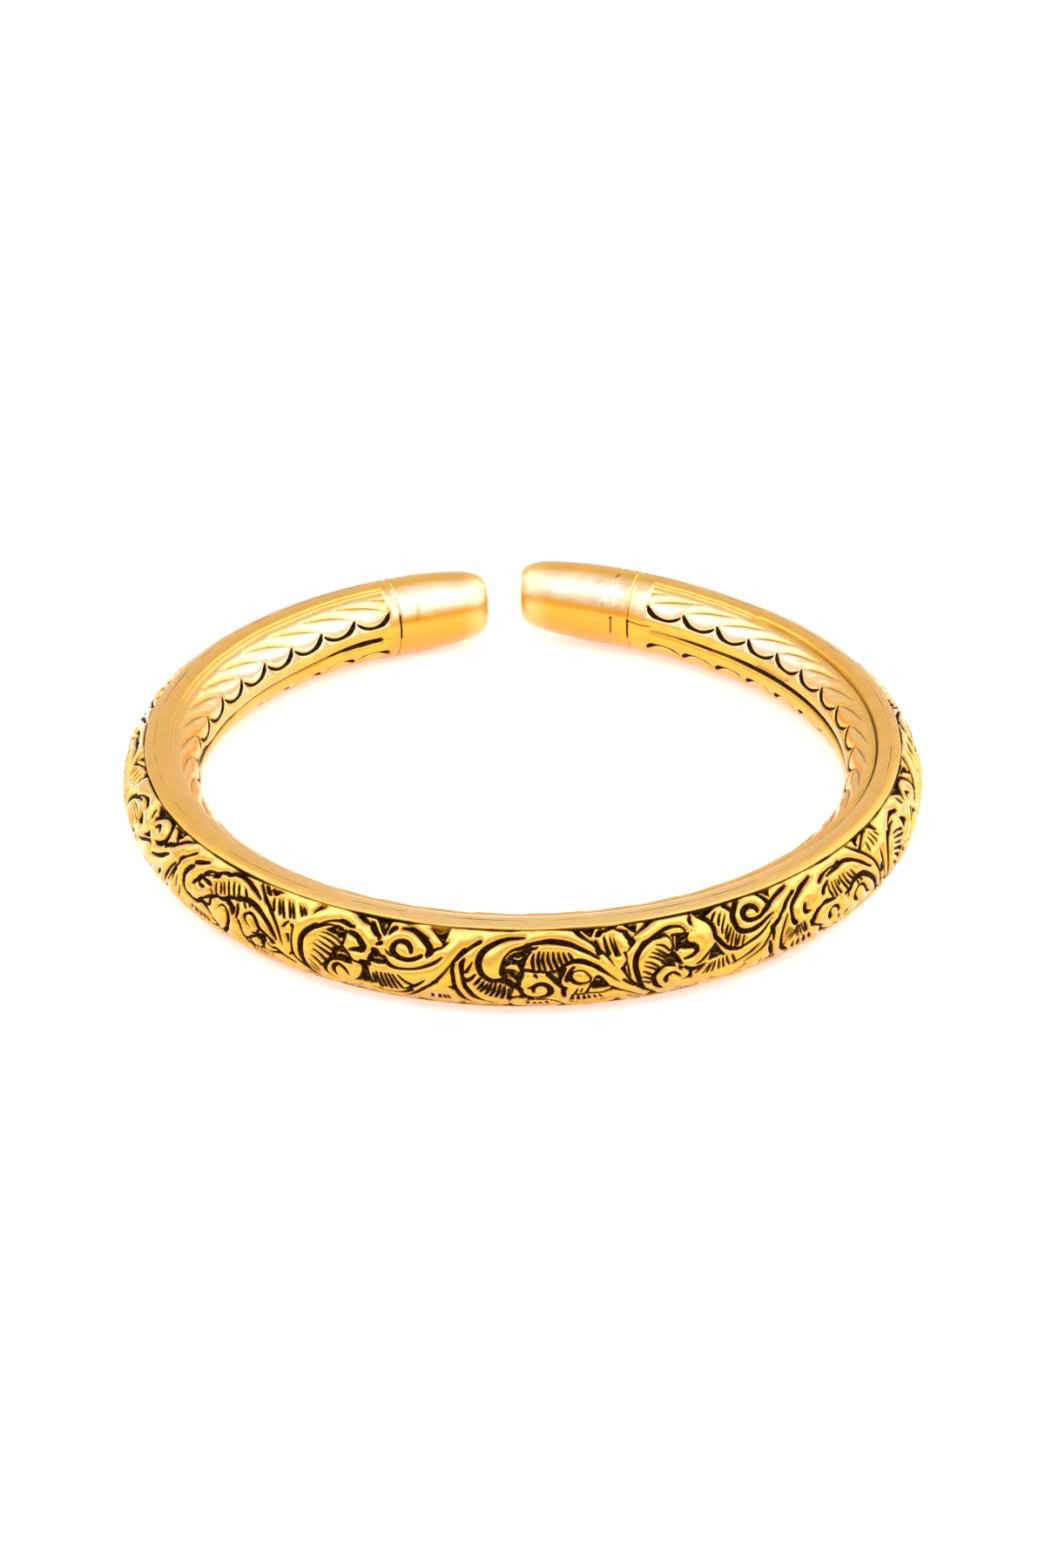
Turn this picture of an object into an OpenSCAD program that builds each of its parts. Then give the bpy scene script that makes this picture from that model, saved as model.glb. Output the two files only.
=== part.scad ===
// Kada bangle: a thick, open hoop of oval section, lying on its side.
// Scrollwork stands up from a sunk panel all round the outer face. Two rows of slanted leaves
// run round the inner face, and a plain cap, set off by two engraved rings, closes each end.
// The origin is on the surface that the hoop lies on, under its centre. The gap faces +Y.

/* [Hoop] */
// Width of the wrist opening, across the inner face
inner_d = 62; // [56:0.5:70]
// Thickness of the section, from the inner face to the outer
wall = 7.7; // [7:0.1:9]
// Height of the section as the hoop lies
height = 8.6; // [7.6:0.1:9.6]
// Gap between the two end faces, along the middle of the section
gap = 3.4; // [2:0.1:8]
// Lift of the right end, where the hoop is sprung out of flat
spring_up = 0.9; // [0:0.1:1.5]
// How far the right end is sprung outwards
spring_out = 0.6; // [0:0.1:1.5]

/* [End caps] */
// Length of the left cap, from its end face to the nearer engraved ring
left_cap = 8.9; // [8:0.1:12]
// Length of the right cap, from its end face to the nearer engraved ring
right_cap = 10.8; // [8:0.1:12]
// Distance between the two engraved rings of a cap
ring_step = 2.1; // [1.6:0.1:3]
// Width of an engraved ring
ring_w = 0.5; // [0.3:0.1:0.7]
// Depth of an engraved ring
ring_depth = 0.2; // [0.1:0.05:0.3]

/* [Scroll panel] */
// Width of the panel, measured round the section
panel_w = 9.6; // [8.4:0.1:10]
// Depth of the sunk ground below the plain metal
ground_depth = 0.35; // [0.3:0.05:0.5]
// Turn that one repeat of the scroll takes about the hoop, in degrees
repeat_turn = 45.4; // [45:0.2:52]
// Turn from the front of the hoop to the start of a repeat, in degrees
repeat_from = 10.2; // [4:0.2:20]

/* [Leaf rows] */
// Leaves in each row, from the front of the hoop to one cap
leaves = 21; // [14:1:21]
// Height of a leaf above the plain metal
leaf_rise = 0.1; // [0.06:0.02:0.2]
// Width of the engraved line along the middle of the inner face
seam_w = 0.5; // [0.3:0.1:0.8]

/* [Hidden] */
gold = [0.88, 0.66, 0.25];

middle_r = (inner_d + wall) / 2;
section_r = (wall + height) / 4;
half_panel = panel_w / 2 / section_r * 180 / PI;
edge_turn = 4;              // a step's edges lie this far apart round the section, in degrees
seam_turn = seam_w / section_r * 90 / PI;
leaf_top = 105;             // upper and lower edge of a leaf row round the section, in degrees
leaf_foot = 158;
leaf_sink = 0.15;           // ground of the leaf row below the plain metal
leaf_foot_z = -leaf_sink - 0.2;     // a leaf's foot, sunk into its ground
bury = 0.35;                // how far the scrollwork reaches under the ground that it stands on
relief_foot = -ground_depth - bury;
spread = 1 + bury / ground_depth;   // a foot under the ground is this much wider than at the ground
ribbon_top = 0.05;          // ridge of a ribbon and crown of a mound, from the plain metal
mound_top = -0.05;
mound_foot = 1.15;          // share of a mound's size at its foot and at its crown
mound_crown = 0.6;
end_margin = 0.3;           // room left between the scrollwork and the end of its panel
body_step = 6.5;            // angle between two sections of the hoop
stagger = 0.4;              // every other corner of a section is turned by this, which leaves no face with
                            // four corners, whose cuts could fall on one line
cap_lift = 0.55;            // share of a cap's narrowing that lifts its middle, so its top stays level
spring_from = 137;          // turn from the front where the sprung end begins
spring_bend = 1.15;         // 1 bends it all at that place, and more spreads the bend

// An end cap's sections. Columns: distance from the end face, share of the full section
DISTANCE = 0;
SHARE = 1;
cap_sections = [
    [0.0, 0.50],
    [0.2, 0.64],
    [0.7, 0.77],
    [1.6, 0.86],
    [3.4, 0.92],
    [6.4, 0.98],
];

// The tables below draw one repeat of the scroll on a flat tile, in millimetres from the start of
// the repeat and from the outer middle line. The tile is stretched to fit the panel.
tile_length = 30.6;
tile_width = 9.6;

// Ribbons. Columns: along, up, half width
ALONG = 0;
UP = 1;
HALF = 2;
great_leaf = [
    [1.6, -3.6, 0.30], [0.5, -0.6, 0.55], [0.9, 1.6, 0.60], [2.3, 3.4, 0.60], [4.3, 4.0, 0.55],
    [6.3, 3.5, 0.80], [7.0, 1.9, 0.75], [6.1, 1.0, 0.55],
];
main_stem = [
    [11.6, 0.9, 0.55], [14.4, 2.5, 0.70], [17.8, 4.0, 0.55], [22.8, 4.2, 0.45],
    [26.6, 3.1, 0.65], [29.2, 0.4, 0.75], [31.6, -3.2, 0.35],
];
rise_leaf = [[8.4, -2.6, 0.30], [11.6, -1.2, 0.75], [13.8, 0.8, 0.75], [16.2, 3.0, 0.25]];
side_leaf = [[16.9, -3.4, 0.30], [15.9, -0.6, 0.50], [16.7, 2.3, 0.55], [19.6, 3.7, 0.20]];
curled_leaf = [[19.0, 0.8, 0.50], [18.6, 2.0, 0.90], [20.6, 3.1, 0.40]];
small_curl = [
    [25.0, -1.6, 0.30], [25.0, 0.5, 0.45], [26.3, 1.2, 0.50], [28.0, -0.2, 0.50], [29.9, -3.2, 0.25],
];
ribbons = [great_leaf, main_stem, rise_leaf, side_leaf, curled_leaf, small_curl];

// Volutes, each a ribbon wound in from its stem to its eye.
// Columns: along and up of the eye, outer radius, angle of the stem, turn from stem to eye
REACH = 2;
STEM = 3;
TURN = 4;
volutes = [
    [10.7, 2.45, 1.50, -60, -400],
    [4.8, -1.45, 1.35, 20, 400],
    [22.5, -0.85, 1.45, -50, 400],
];
volute_half = 0.6;
volute_steps = 7;
volute_wind = 0.85;         // share of the radius, and of the width, lost from stem to eye
volute_taper = 0.45;

// Hatched half leaves and buds, each a low mound.
// Columns: along and up of its middle, half length, half width, slant
LENGTH = 2;
WIDTH = 3;
SLANT = 4;
mounds = [
    [2.9, 0.9, 2.1, 1.2, 62],
    [9.3, -0.6, 1.9, 0.9, -8],
    [18.6, -1.5, 1.9, 1.1, -22],
    [23.2, 1.95, 2.1, 0.9, 6],
    [29.3, 3.3, 1.4, 1.0, -25],
    [6.4, -3.6, 2.0, 0.7, 6],
];
mound_sides = 6;

// Share of the spring at a turn from the front of the hoop
function sprung(about) = 
    pow(max(0, about - spring_from) / (180 - spring_from), spring_bend);

// A point of the surface: turn about the hoop from the front, turn round the section from the
// outer face, height above the plain metal, share of the full section
function hoop_point(about, round_, rise = 0, share = 1) =
    let (
        r = middle_r + (wall / 2 * share + rise) * cos(round_) + spring_out * sprung(about),
        lift = (1 - share) * height / 2 * cap_lift + spring_up * sprung(about),
        z = height / 2 + lift + (height / 2 * share + rise) * sin(round_)
    )
    [r * sin(about), -r * cos(about), z];

function tile_turn(along) = repeat_from + along / tile_length * repeat_turn;

// A point of the scroll panel, given on the tile
function panel_point(along, up, rise) =
    hoop_point(tile_turn(along), up * 2 / tile_width * half_panel, rise);

function arc_turn(length) = length / middle_r * 180 / PI;

// Turn and height of every corner of the section, in the ornamented stretch, from the outer
// middle line upwards. The lower half mirrors it.
section_half = [
    [32, -ground_depth],
    [half_panel - edge_turn, -ground_depth],
    [half_panel, 0],
    [90, 0],
    [leaf_top - edge_turn, 0],
    [(leaf_top + leaf_foot) / 2, -leaf_sink],
    [leaf_foot + edge_turn, 0],
    [180 - seam_turn, 0],
];
corners = concat(
    [[0, -ground_depth]],
    section_half,
    [[180, -ground_depth / 2]],
    [for (i = [len(section_half) - 1:-1:0]) [360 - section_half[i][0], section_half[i][1]]]
);
corner_count = len(corners);

// Sections from an end face to the start of the ornament.
// Columns: turn from the middle of the gap, share, groove depth, ornament on or off
function cap_rows(cap) = concat(
    [for (row = cap_sections) [arc_turn(gap / 2 + row[DISTANCE]), row[SHARE], 0, 0]],
    [
        for (ring = [0, 1], side = [-1, 0, 1])
            [
                arc_turn(gap / 2 + cap + ring * ring_step + side * ring_w / 2),
                1, side == 0 ? ring_depth : 0, 0,
            ]
    ],
    [[arc_turn(gap / 2 + cap + ring_step + 2 * ring_w), 1, 0, 0]]
);
left_rows = cap_rows(left_cap);
right_rows = cap_rows(right_cap);
left_edge = -180 + left_rows[len(left_rows) - 1][0];
right_edge = 180 - right_rows[len(right_rows) - 1][0];
ornament_in = arc_turn(ring_w);
first_section = left_edge + ornament_in;
last_section = right_edge - ornament_in;
body_sections = ceil((last_section - first_section) / body_step);
sections = concat(
    [for (row = left_rows) [row[0] - 180, row[1], row[2], row[3]]],
    [
        for (i = [0:body_sections])
            [first_section + (last_section - first_section) * i / body_sections, 1, 0, 1]
    ],
    [
        for (i = [len(right_rows) - 1:-1:0])
            [180 - right_rows[i][0], right_rows[i][1], right_rows[i][2], 0]
    ]
);

// The bare hoop, one closed skin through all its sections
module hoop_body() {
    last = len(sections) - 1;
    polyhedron(
        points = [
            for (s = sections, j = [0:corner_count - 1])
                hoop_point(
                    s[0] + (s[3] == 1 ? stagger * (j % 2) : 0),
                    corners[j][0],
                    (s[3] == 1 ? corners[j][1] : 0) - s[2],
                    s[1]
                )
        ],
        faces = concat(
            [[for (j = [0:corner_count - 1]) corner_count - 1 - j]],
            [
                for (i = [0:last - 1], j = [0:corner_count - 1], half = [0, 1])
                    let (
                        a = i * corner_count + j,
                        b = i * corner_count + (j + 1) % corner_count,
                        c = a + corner_count,
                        d = b + corner_count
                    )
                    half == 0 ? [a, b, d] : [a, d, c]
            ],
            [[for (j = [0:corner_count - 1]) last * corner_count + j]]
        )
    );
}

// Direction of a ribbon's path at one of its rows
function heading(path, i) =
    let (
        before = path[max(i - 1, 0)],
        after = path[min(i + 1, len(path) - 1)]
    )
    atan2(after[UP] - before[UP], after[ALONG] - before[ALONG]);

// A ribbon of metal along a path, ridged on top, made of one straight length after another
module ribbon(path, start) {
    function across(i) = [
        for (side = [-1, 0, 1])
            let (
                row = path[i],
                turn = heading(path, i) + 90,
                reach = side * row[HALF] * spread
            )
            panel_point(
                start + row[ALONG] + reach * cos(turn),
                row[UP] + reach * sin(turn),
                side == 0 ? ribbon_top : relief_foot
            )
    ];
    for (i = [0:len(path) - 2])
        hull() polyhedron(
            points = concat(across(i), across(i + 1)),
            faces = [[0, 1, 2], [3, 5, 4], [0, 3, 4], [1, 4, 5], [2, 5, 3]]
        );
}

function volute_path(v) = [
    for (i = [0:volute_steps])
        let (
            done = i / volute_steps,
            turn = v[STEM] + v[TURN] * done,
            reach = v[REACH] * (1 - volute_wind * done)
        )
        [
            v[ALONG] + reach * cos(turn),
            v[UP] + reach * sin(turn),
            volute_half * (1 - volute_taper * done),
        ]
];

// A low mound on the panel, such as a hatched half leaf
module mound(m, start) {
    function rim(i, share, rise) =
        let (
            turn = 360 * i / mound_sides,
            x = m[LENGTH] * share * cos(turn),
            y = m[WIDTH] * share * sin(turn)
        )
        panel_point(
            start + m[ALONG] + x * cos(m[SLANT]) - y * sin(m[SLANT]),
            m[UP] + x * sin(m[SLANT]) + y * cos(m[SLANT]),
            rise
        );
    hull() polyhedron(
        points = concat(
            [for (i = [0:mound_sides - 1]) rim(i, mound_foot, relief_foot)],
            [for (i = [0, mound_sides / 2]) rim(i, mound_crown, mound_top)]
        ),
        faces = [for (i = [0:mound_sides - 1]) [i, (i + 1) % mound_sides, mound_sides + i % 2]]
    );
}

// Whether a stretch along the repeats lies inside the panel
function clear_of_ends(low, high) =
    tile_turn(low - end_margin) > first_section && tile_turn(high + end_margin) < last_section;

// All of the scrollwork that fits between the two caps
module scroll_panel() {
    first_repeat = floor((first_section - repeat_from) / repeat_turn);
    last_repeat = floor((last_section - repeat_from) / repeat_turn);
    for (n = [first_repeat:last_repeat]) {
        start = n * tile_length;
        for (path = ribbons) {
            along = [for (row = path) start + row[ALONG]];
            if (clear_of_ends(min(along), max(along))) ribbon(path, start);
        }
        for (v = volutes) {
            at = start + v[ALONG];
            if (clear_of_ends(at - v[REACH], at + v[REACH])) ribbon(volute_path(v), start);
        }
        for (m = mounds) {
            at = start + m[ALONG];
            if (clear_of_ends(at - m[LENGTH], at + m[LENGTH])) mound(m, start);
        }
    }
}

// One slanted leaf of the inner rows: a scalloped foot and a crown that leans to the front.
// Columns: share of the leaf's length, share of its width across the row, 1 on its crown
ACROSS = 1;
CROWN = 2;
leaf_outline = [
    [0.00, 0.74, 0], [0.28, 1.00, 0], [0.72, 1.00, 0], [1.00, 0.74, 0],
    [0.56, -0.04, 0], [-0.12, -0.04, 0],
    [0.14, 0.70, 1], [0.50, 0.86, 1], [0.84, 0.68, 1], [0.24, 0.14, 1],
];

module leaf(from, to, upper) {
    hull() polyhedron(
        points = [
            for (row = leaf_outline)
                let (round_ = leaf_top + (leaf_foot - leaf_top) * row[ACROSS])
                hoop_point(
                    from + (to - from) * row[ALONG],
                    upper ? round_ : 360 - round_,
                    row[CROWN] == 1 ? leaf_rise : leaf_foot_z
                )
        ],
        faces = [for (i = [0:len(leaf_outline) - 3]) [i, i + 1, i + 2]]
    );
}

module leaf_rows() {
    for (edge = [first_section, last_section], upper = [true, false], i = [0:leaves - 1])
        leaf(edge * i / leaves, edge * (i + 1) / leaves, upper);
}

module kada_hoop() {
    color(gold) union() {
        hoop_body();
        scroll_panel();
        leaf_rows();
    }
}

kada_hoop();
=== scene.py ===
# %% [markdown]
# # An open kada bangle, cast, chased and gilded
# The real piece is one thick bar of gilt metal bent into a hoop, with a small gap for the wrist.
# Its outer face is carved with scrolls, its inner face carries two rows of leaves, and a
# polished cap ends each side of the gap. We dress the CAD hoop in skins of carved metal.

# %% Load the frame
import math
import bpy
import numpy as np
from mathutils import Matrix, Vector


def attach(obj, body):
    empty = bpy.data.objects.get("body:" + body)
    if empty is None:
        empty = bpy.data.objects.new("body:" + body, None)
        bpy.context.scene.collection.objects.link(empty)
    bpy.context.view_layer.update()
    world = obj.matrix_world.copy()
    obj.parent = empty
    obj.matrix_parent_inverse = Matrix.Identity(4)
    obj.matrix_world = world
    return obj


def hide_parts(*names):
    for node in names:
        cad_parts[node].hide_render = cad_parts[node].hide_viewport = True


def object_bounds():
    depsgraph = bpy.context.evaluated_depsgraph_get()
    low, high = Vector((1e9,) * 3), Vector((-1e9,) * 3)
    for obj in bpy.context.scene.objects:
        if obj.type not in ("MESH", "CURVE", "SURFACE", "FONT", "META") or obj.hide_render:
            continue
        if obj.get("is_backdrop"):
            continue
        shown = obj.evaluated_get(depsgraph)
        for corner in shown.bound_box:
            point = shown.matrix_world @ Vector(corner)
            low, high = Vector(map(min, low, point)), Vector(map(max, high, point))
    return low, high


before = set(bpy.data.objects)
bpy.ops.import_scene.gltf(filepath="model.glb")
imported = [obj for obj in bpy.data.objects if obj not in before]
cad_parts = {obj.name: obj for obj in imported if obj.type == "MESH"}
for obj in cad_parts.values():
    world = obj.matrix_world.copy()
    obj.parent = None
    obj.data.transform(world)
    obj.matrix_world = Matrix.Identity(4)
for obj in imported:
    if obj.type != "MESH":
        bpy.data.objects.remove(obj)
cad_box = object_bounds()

print("CAD box", [[round(c * 1000, 2) for c in corner] for corner in cad_box], "mm")

# %% [markdown]
# ## The hoop's sizes
# Two angles give a place on the hoop, as on a ring torus. The turn runs about the hoop from its
# front, and the round runs about the section from its outer face, with 90 on top. These sizes
# repeat the CAD's, in millimetres and degrees.

# %% Sizes
INNER_D, WALL, HEIGHT, GAP = 62.0, 7.7, 8.6, 3.4
SPRING_UP, SPRING_OUT, SPRING_FROM, SPRING_BEND = 0.9, 0.6, 137.0, 1.15
CAP_LIFT = 0.55                     # share of a cap's narrowing that lifts its middle
LEFT_CAP, RIGHT_CAP, RING_STEP = 8.9, 10.8, 2.1
HALF_PANEL_MM = 4.8
MIDDLE_R = (INNER_D + WALL) / 2
SECTION_R = (WALL + HEIGHT) / 4
ROUND_MM = math.radians(SECTION_R)                # mm of skin in a degree of round
OUTER_MM = math.radians(MIDDLE_R + WALL / 2)      # mm of skin in a degree of turn, outside
INNER_MM = math.radians(MIDDLE_R - WALL / 2)      # the same inside
HALF_PANEL = HALF_PANEL_MM / ROUND_MM


def arc(length):
    """Degrees of turn for a length along the middle of the bar."""
    return math.degrees(length / MIDDLE_R)


END_TURN = arc(GAP / 2)
RINGS = [-180 + END_TURN + arc(LEFT_CAP), -180 + END_TURN + arc(LEFT_CAP + RING_STEP),
         180 - END_TURN - arc(RIGHT_CAP + RING_STEP), 180 - END_TURN - arc(RIGHT_CAP)]
LEFT_EDGE, RIGHT_EDGE = RINGS[1], RINGS[2]
print("carved from", round(LEFT_EDGE, 1), "to", round(RIGHT_EDGE, 1), "degrees")

# %% [markdown]
# ## Formulas from sockets
# Shader nodes and Geometry Nodes share the same maths nodes. One small class wraps a socket so
# that Python's own operators add Math nodes. A formula then reads as a formula, which is easier
# to follow than a page of links.

# %% Terms
class Term:
    """A socket or a number that can stand in an expression."""

    def __init__(self, bench, value):
        self.bench, self.value = bench, value

    def math(self, operation, *others):
        return self.bench.node("ShaderNodeMath", {"operation": operation}, (self, *others))

    def __add__(self, other):
        return self.math("ADD", other)

    def __sub__(self, other):
        return self.math("SUBTRACT", other)

    def __rsub__(self, other):
        return Term(self.bench, other).math("SUBTRACT", self)

    def __mul__(self, other):
        return self.math("MULTIPLY", other)

    def __truediv__(self, other):
        return self.math("DIVIDE", other)

    def __rtruediv__(self, other):
        return Term(self.bench, other).math("DIVIDE", self)

    def __pow__(self, other):
        return self.math("POWER", other)

    def __rpow__(self, other):
        return Term(self.bench, other).math("POWER", self)

    def __mod__(self, other):
        return self.math("FLOORED_MODULO", other)

    def __neg__(self):
        return self.math("MULTIPLY", -1.0)

    def __abs__(self):
        return self.math("ABSOLUTE")

    __radd__ = __add__
    __rmul__ = __mul__

    def at_least(self, other):
        return self.math("MAXIMUM", other)

    def at_most(self, other):
        return self.math("MINIMUM", other)

    def between(self, low, high):
        """0 up to low, 1 from high and smooth in between."""
        return self.bench.node("ShaderNodeMapRange", {"interpolation_type": "SMOOTHSTEP"},
                               {"Value": self, "From Min": low, "From Max": high})


print("besides arithmetic a term knows", [name for name in vars(Term) if not name.startswith("_")])

# %% [markdown]
# ## The bench
# Every node needs the same few steps: add it, set its options and plug in what it works on. The
# bench does these in one call and hands back the result as a term.

# %% The bench
class Bench:
    """Adds nodes to one tree."""

    def __init__(self, tree):
        self.tree = tree

    def node(self, kind, settings=None, inputs=(), out=0):
        made = self.tree.nodes.new(kind)
        for name, value in (settings or {}).items():
            setattr(made, name, value)
        for name, value in (inputs.items() if isinstance(inputs, dict) else enumerate(inputs)):
            self.plug(made.inputs[name], value)
        return Term(self, made.outputs[out] if made.outputs else None)

    def plug(self, socket, value):
        value = value.value if isinstance(value, Term) else value
        if isinstance(value, bpy.types.NodeSocket):
            self.tree.links.new(value, socket)
        else:
            socket.default_value = value


print("bench ready")

# %% [markdown]
# ## A plate to carve
# A chaser could work out the pattern on a flat plate before bending it. We do the same: a plate
# is a grid of depths in mm, and each tool lowers the cells that it passes. A relief this fine
# could also be a bump in the material, but then its edges would stay smooth and the cuts
# would have no walls that catch the light.

# %% The plate
FAR_OFF = 9.0           # mm, more than any cut is from the next
TOOL_PAD = 0.8          # mm round a cut that its tool may reach


class Plate:
    """Flat metal under the graver, with its depths in mm."""

    def __init__(self, low, high, cell, wraps=False, pillow=0.25, edge_wear=0.06):
        self.low, self.cell, self.wraps = np.array(low, float), cell, wraps
        self.pillow, self.edge_wear = pillow, edge_wear  # mm that a form drops towards its cuts
        self.nx = round((high[0] - low[0]) / cell) + (not wraps)
        self.ny = round((high[1] - low[1]) / cell) + 1
        self.depth = np.zeros((self.ny, self.nx))
        self.near = np.full((self.ny, self.nx), FAR_OFF)    # mm to the edge of the nearest cut
        self.floor = np.zeros((self.ny, self.nx))       # 1 where the matting punch went
        self.stain = np.ones((self.ny, self.nx))        # how well a cut holds its old oxide
        self.base = np.zeros((self.ny, 1))              # the uncarved surface, for each height

    def windows(self, points, pad):
        """Where a tool may touch the plate, and the places of those cells, one repeat at a time."""
        low = np.floor((points.min(0) - pad - self.low) / self.cell).astype(int)
        high = np.ceil((points.max(0) + pad - self.low) / self.cell).astype(int)
        xs = np.arange(low[0], high[0] + 1)
        ys = np.arange(max(low[1], 0), min(high[1], self.ny - 1) + 1)
        for repeat in np.unique(xs // self.nx) if self.wraps else (0,):
            own = xs[xs // self.nx == repeat]
            x, y = np.meshgrid(self.low[0] + own * self.cell, self.low[1] + ys * self.cell)
            yield np.ix_(ys, own % self.nx), x, y

    def lower(self, at, edge, deep, rounded=True):
        """Takes the metal down where the edge is below 0, and notes how far off the cut is."""
        self.depth[at] = np.maximum(self.depth[at], np.where(edge < 0, deep, 0))
        if rounded:
            self.near[at] = np.minimum(self.near[at], np.maximum(edge, 0))

    def sample(self, grid, x, y):
        """Values of one of the plate's grids at any places."""
        fx = np.clip((x - self.low[0]) / self.cell, 0, self.nx - 1.001)
        fy = np.clip((y - self.low[1]) / self.cell, 0, self.ny - 1.001)
        i, j = fx.astype(int), fy.astype(int)
        fx, fy = fx - i, fy - j
        return ((grid[j, i] * (1 - fx) + grid[j, i + 1] * fx) * (1 - fy)
                + (grid[j + 1, i] * (1 - fx) + grid[j + 1, i + 1] * fx) * fy)


print("a test plate of", Plate((0, 0), (2, 1), 0.1).depth.shape, "cells")

# %% [markdown]
# ## The graver
# The graver leaves a groove that tapers at its ends and swells where the hand pressed. On the
# real piece some of the long strokes have one side notched with small teeth. A smooth curve goes
# through the charted points, and its width follows a few numbers spaced evenly along it.

# %% The graver
LIP = 0.06              # mm that the worn lips of a cut add to its width
SWELL = 1.15            # how much wider than charted the finished cuts are
TOOTH_STEP, TOOTH_SLANT = 0.3, 0.6
GROOVE_DEEPEST, GROOVE_SHALLOWEST = 0.36, 0.05
DEPTH_FOR_WIDTH = 1.7   # depth of a cut for each mm of its half width


def through(points, step=0.05):
    """A smooth line through charted points, and the length run at each of its own."""
    p = np.array(points, float)
    ends = np.vstack([2 * p[0] - p[1], p, 2 * p[-1] - p[-2]])
    line = []
    for a, b, c, d in zip(ends, ends[1:], ends[2:], ends[3:]):
        count = max(2, int(np.hypot(*(c - b)) / step))
        t = (np.arange(count) / count)[:, None]
        line.append(0.5 * (2 * b + (c - a) * t + (2 * a - 5 * b + 4 * c - d) * t**2
                           + (3 * b - a - 3 * c + d) * t**3))
    line = np.vstack(line + [p[-1:]])
    return line, np.concatenate([[0], np.cumsum(np.hypot(*np.diff(line, axis=0).T))])


def spread_along(run, widths):
    """The width at each point of a line, from a few widths spaced evenly along it."""
    return np.interp(run / run[-1], np.linspace(0, 1, len(widths)), widths)


def groove(plate, points, widths, teeth=0, shallow=1.0, stain=1.0):
    """A graver's cut along a line. Teeth notch its left side, or its right below 0."""
    line, run = through(points)
    half = (spread_along(run, widths) * SWELL + LIP) / 2
    for at, x, y in plate.windows(line, TOOL_PAD):
        edge, width = np.full(x.shape, FAR_OFF), np.ones(x.shape)
        for k, (a, b) in enumerate(zip(line, line[1:])):
            d = b - a
            t = np.clip(((x - a[0]) * d[0] + (y - a[1]) * d[1]) / (d @ d), 0, 1)
            ox, oy = x - a[0] - t * d[0], y - a[1] - t * d[1]
            off, w = np.hypot(ox, oy), half[k] + (half[k + 1] - half[k]) * t
            if teeth:
                side = (d[0] * oy - d[1] * ox) * teeth > 0
                s = (run[k] + t * (run[k + 1] - run[k]) + off * TOOTH_SLANT) / TOOTH_STEP
                w = w + np.where(side, abs(teeth) * (2.4 * np.abs(s % 1 - 0.5) - 0.4), 0)
            nearer = off - w < edge
            edge, width = np.where(nearer, off - w, edge), np.where(nearer, w, width)
        deepest = np.clip(width * DEPTH_FOR_WIDTH, GROOVE_SHALLOWEST, GROOVE_DEEPEST) * shallow
        share = np.clip(-edge / np.maximum(width, 0.02), 0, 1)
        deep = deepest * (1 - (1 - share) ** 1.6)
        shows = (edge < 0) & ((deep > plate.depth[at]) | (stain > plate.stain[at]))
        plate.stain[at] = np.where(shows, stain, plate.stain[at])
        plate.lower(at, edge, deep, stain > 0)      # a soft dip, which holds no oxide, has no lips


print("a test line of", len(through([(0, 0), (1, 1), (2, 0)])[0]), "points")

# %% [markdown]
# ## The matting punch
# Between the forms the ground is struck down with a punch, so it lies low and rough. Here and
# there a bit of metal is left standing in it. A recess is charted as a ring of corners, and a
# standing ridge as a line with widths, much as a groove.

# %% The matting punch
GROUND_DEEP, GROUND_SLOPE = 0.42, 0.16      # mm: depth of the ground, and width of its side walls
RIDGE_GROUND = 0.4                          # mm, the depth that a ridge's height is counted from


def recess(plate, corners):
    """Ground struck down inside a ring of corners."""
    p = np.array(corners, float)
    for at, x, y in plate.windows(p, TOOL_PAD):
        inside, edge = np.zeros(x.shape, bool), np.full(x.shape, FAR_OFF)
        for a, b in zip(p, np.roll(p, -1, 0)):
            d = b - a
            if d[1]:
                inside ^= ((a[1] > y) != (b[1] > y)) & (x < d[0] * (y - a[1]) / d[1] + a[0])
            t = np.clip(((x - a[0]) * d[0] + (y - a[1]) * d[1]) / (d @ d), 0, 1)
            edge = np.minimum(edge, np.hypot(x - a[0] - t * d[0], y - a[1] - t * d[1]))
        edge = np.where(inside, -edge, edge)
        wall = 1 - np.clip(-edge / GROUND_SLOPE, 0, 1)
        plate.lower(at, edge, GROUND_DEEP * (1 - wall ** 2))
        plate.floor[at] = np.maximum(plate.floor[at], np.clip((-edge - 0.06) / 0.1, 0, 1))


def ridge(plate, points, widths, top):
    """Metal left standing in a recess, top mm above its ground."""
    line, run = through(points)
    half = spread_along(run, widths) / 2
    for at, x, y in plate.windows(line, TOOL_PAD / 2):
        up = np.zeros(x.shape)
        for (px, py), h in zip(line, half):
            up = np.maximum(up, 1 - (np.hypot(x - px, y - py) / h) ** 2)
        lifted = np.minimum(plate.depth[at], RIDGE_GROUND - top)
        plate.depth[at] += (lifted - plate.depth[at]) * up
        plate.floor[at] *= 1 - up
        plate.stain[at] *= 1 - up * min(1, top / 0.25)


test_plate = Plate((0, 0), (2, 2), 0.1)
recess(test_plate, [(0.5, 0.5), (1.5, 0.5), (1, 1.5)])
print("a test recess goes down", round(test_plate.depth.max(), 2), "mm")

# %% [markdown]
# ## The worn surface
# Years of polishing round each form off towards its cuts, and old oxide stays only where no
# cloth reaches. Both follow from the plate: how far a place is from the nearest cut, and how
# deep it lies. The struck ground also keeps small uneven bumps.

# %% The worn surface
OXIDE_DEEP = 0.13       # mm, the depth below which a cut keeps all its oxide
PILLOW_REACH, EDGE_REACH, OXIDE_REACH = 0.5, 0.12, 0.1      # mm, how far off a cut is felt


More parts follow.
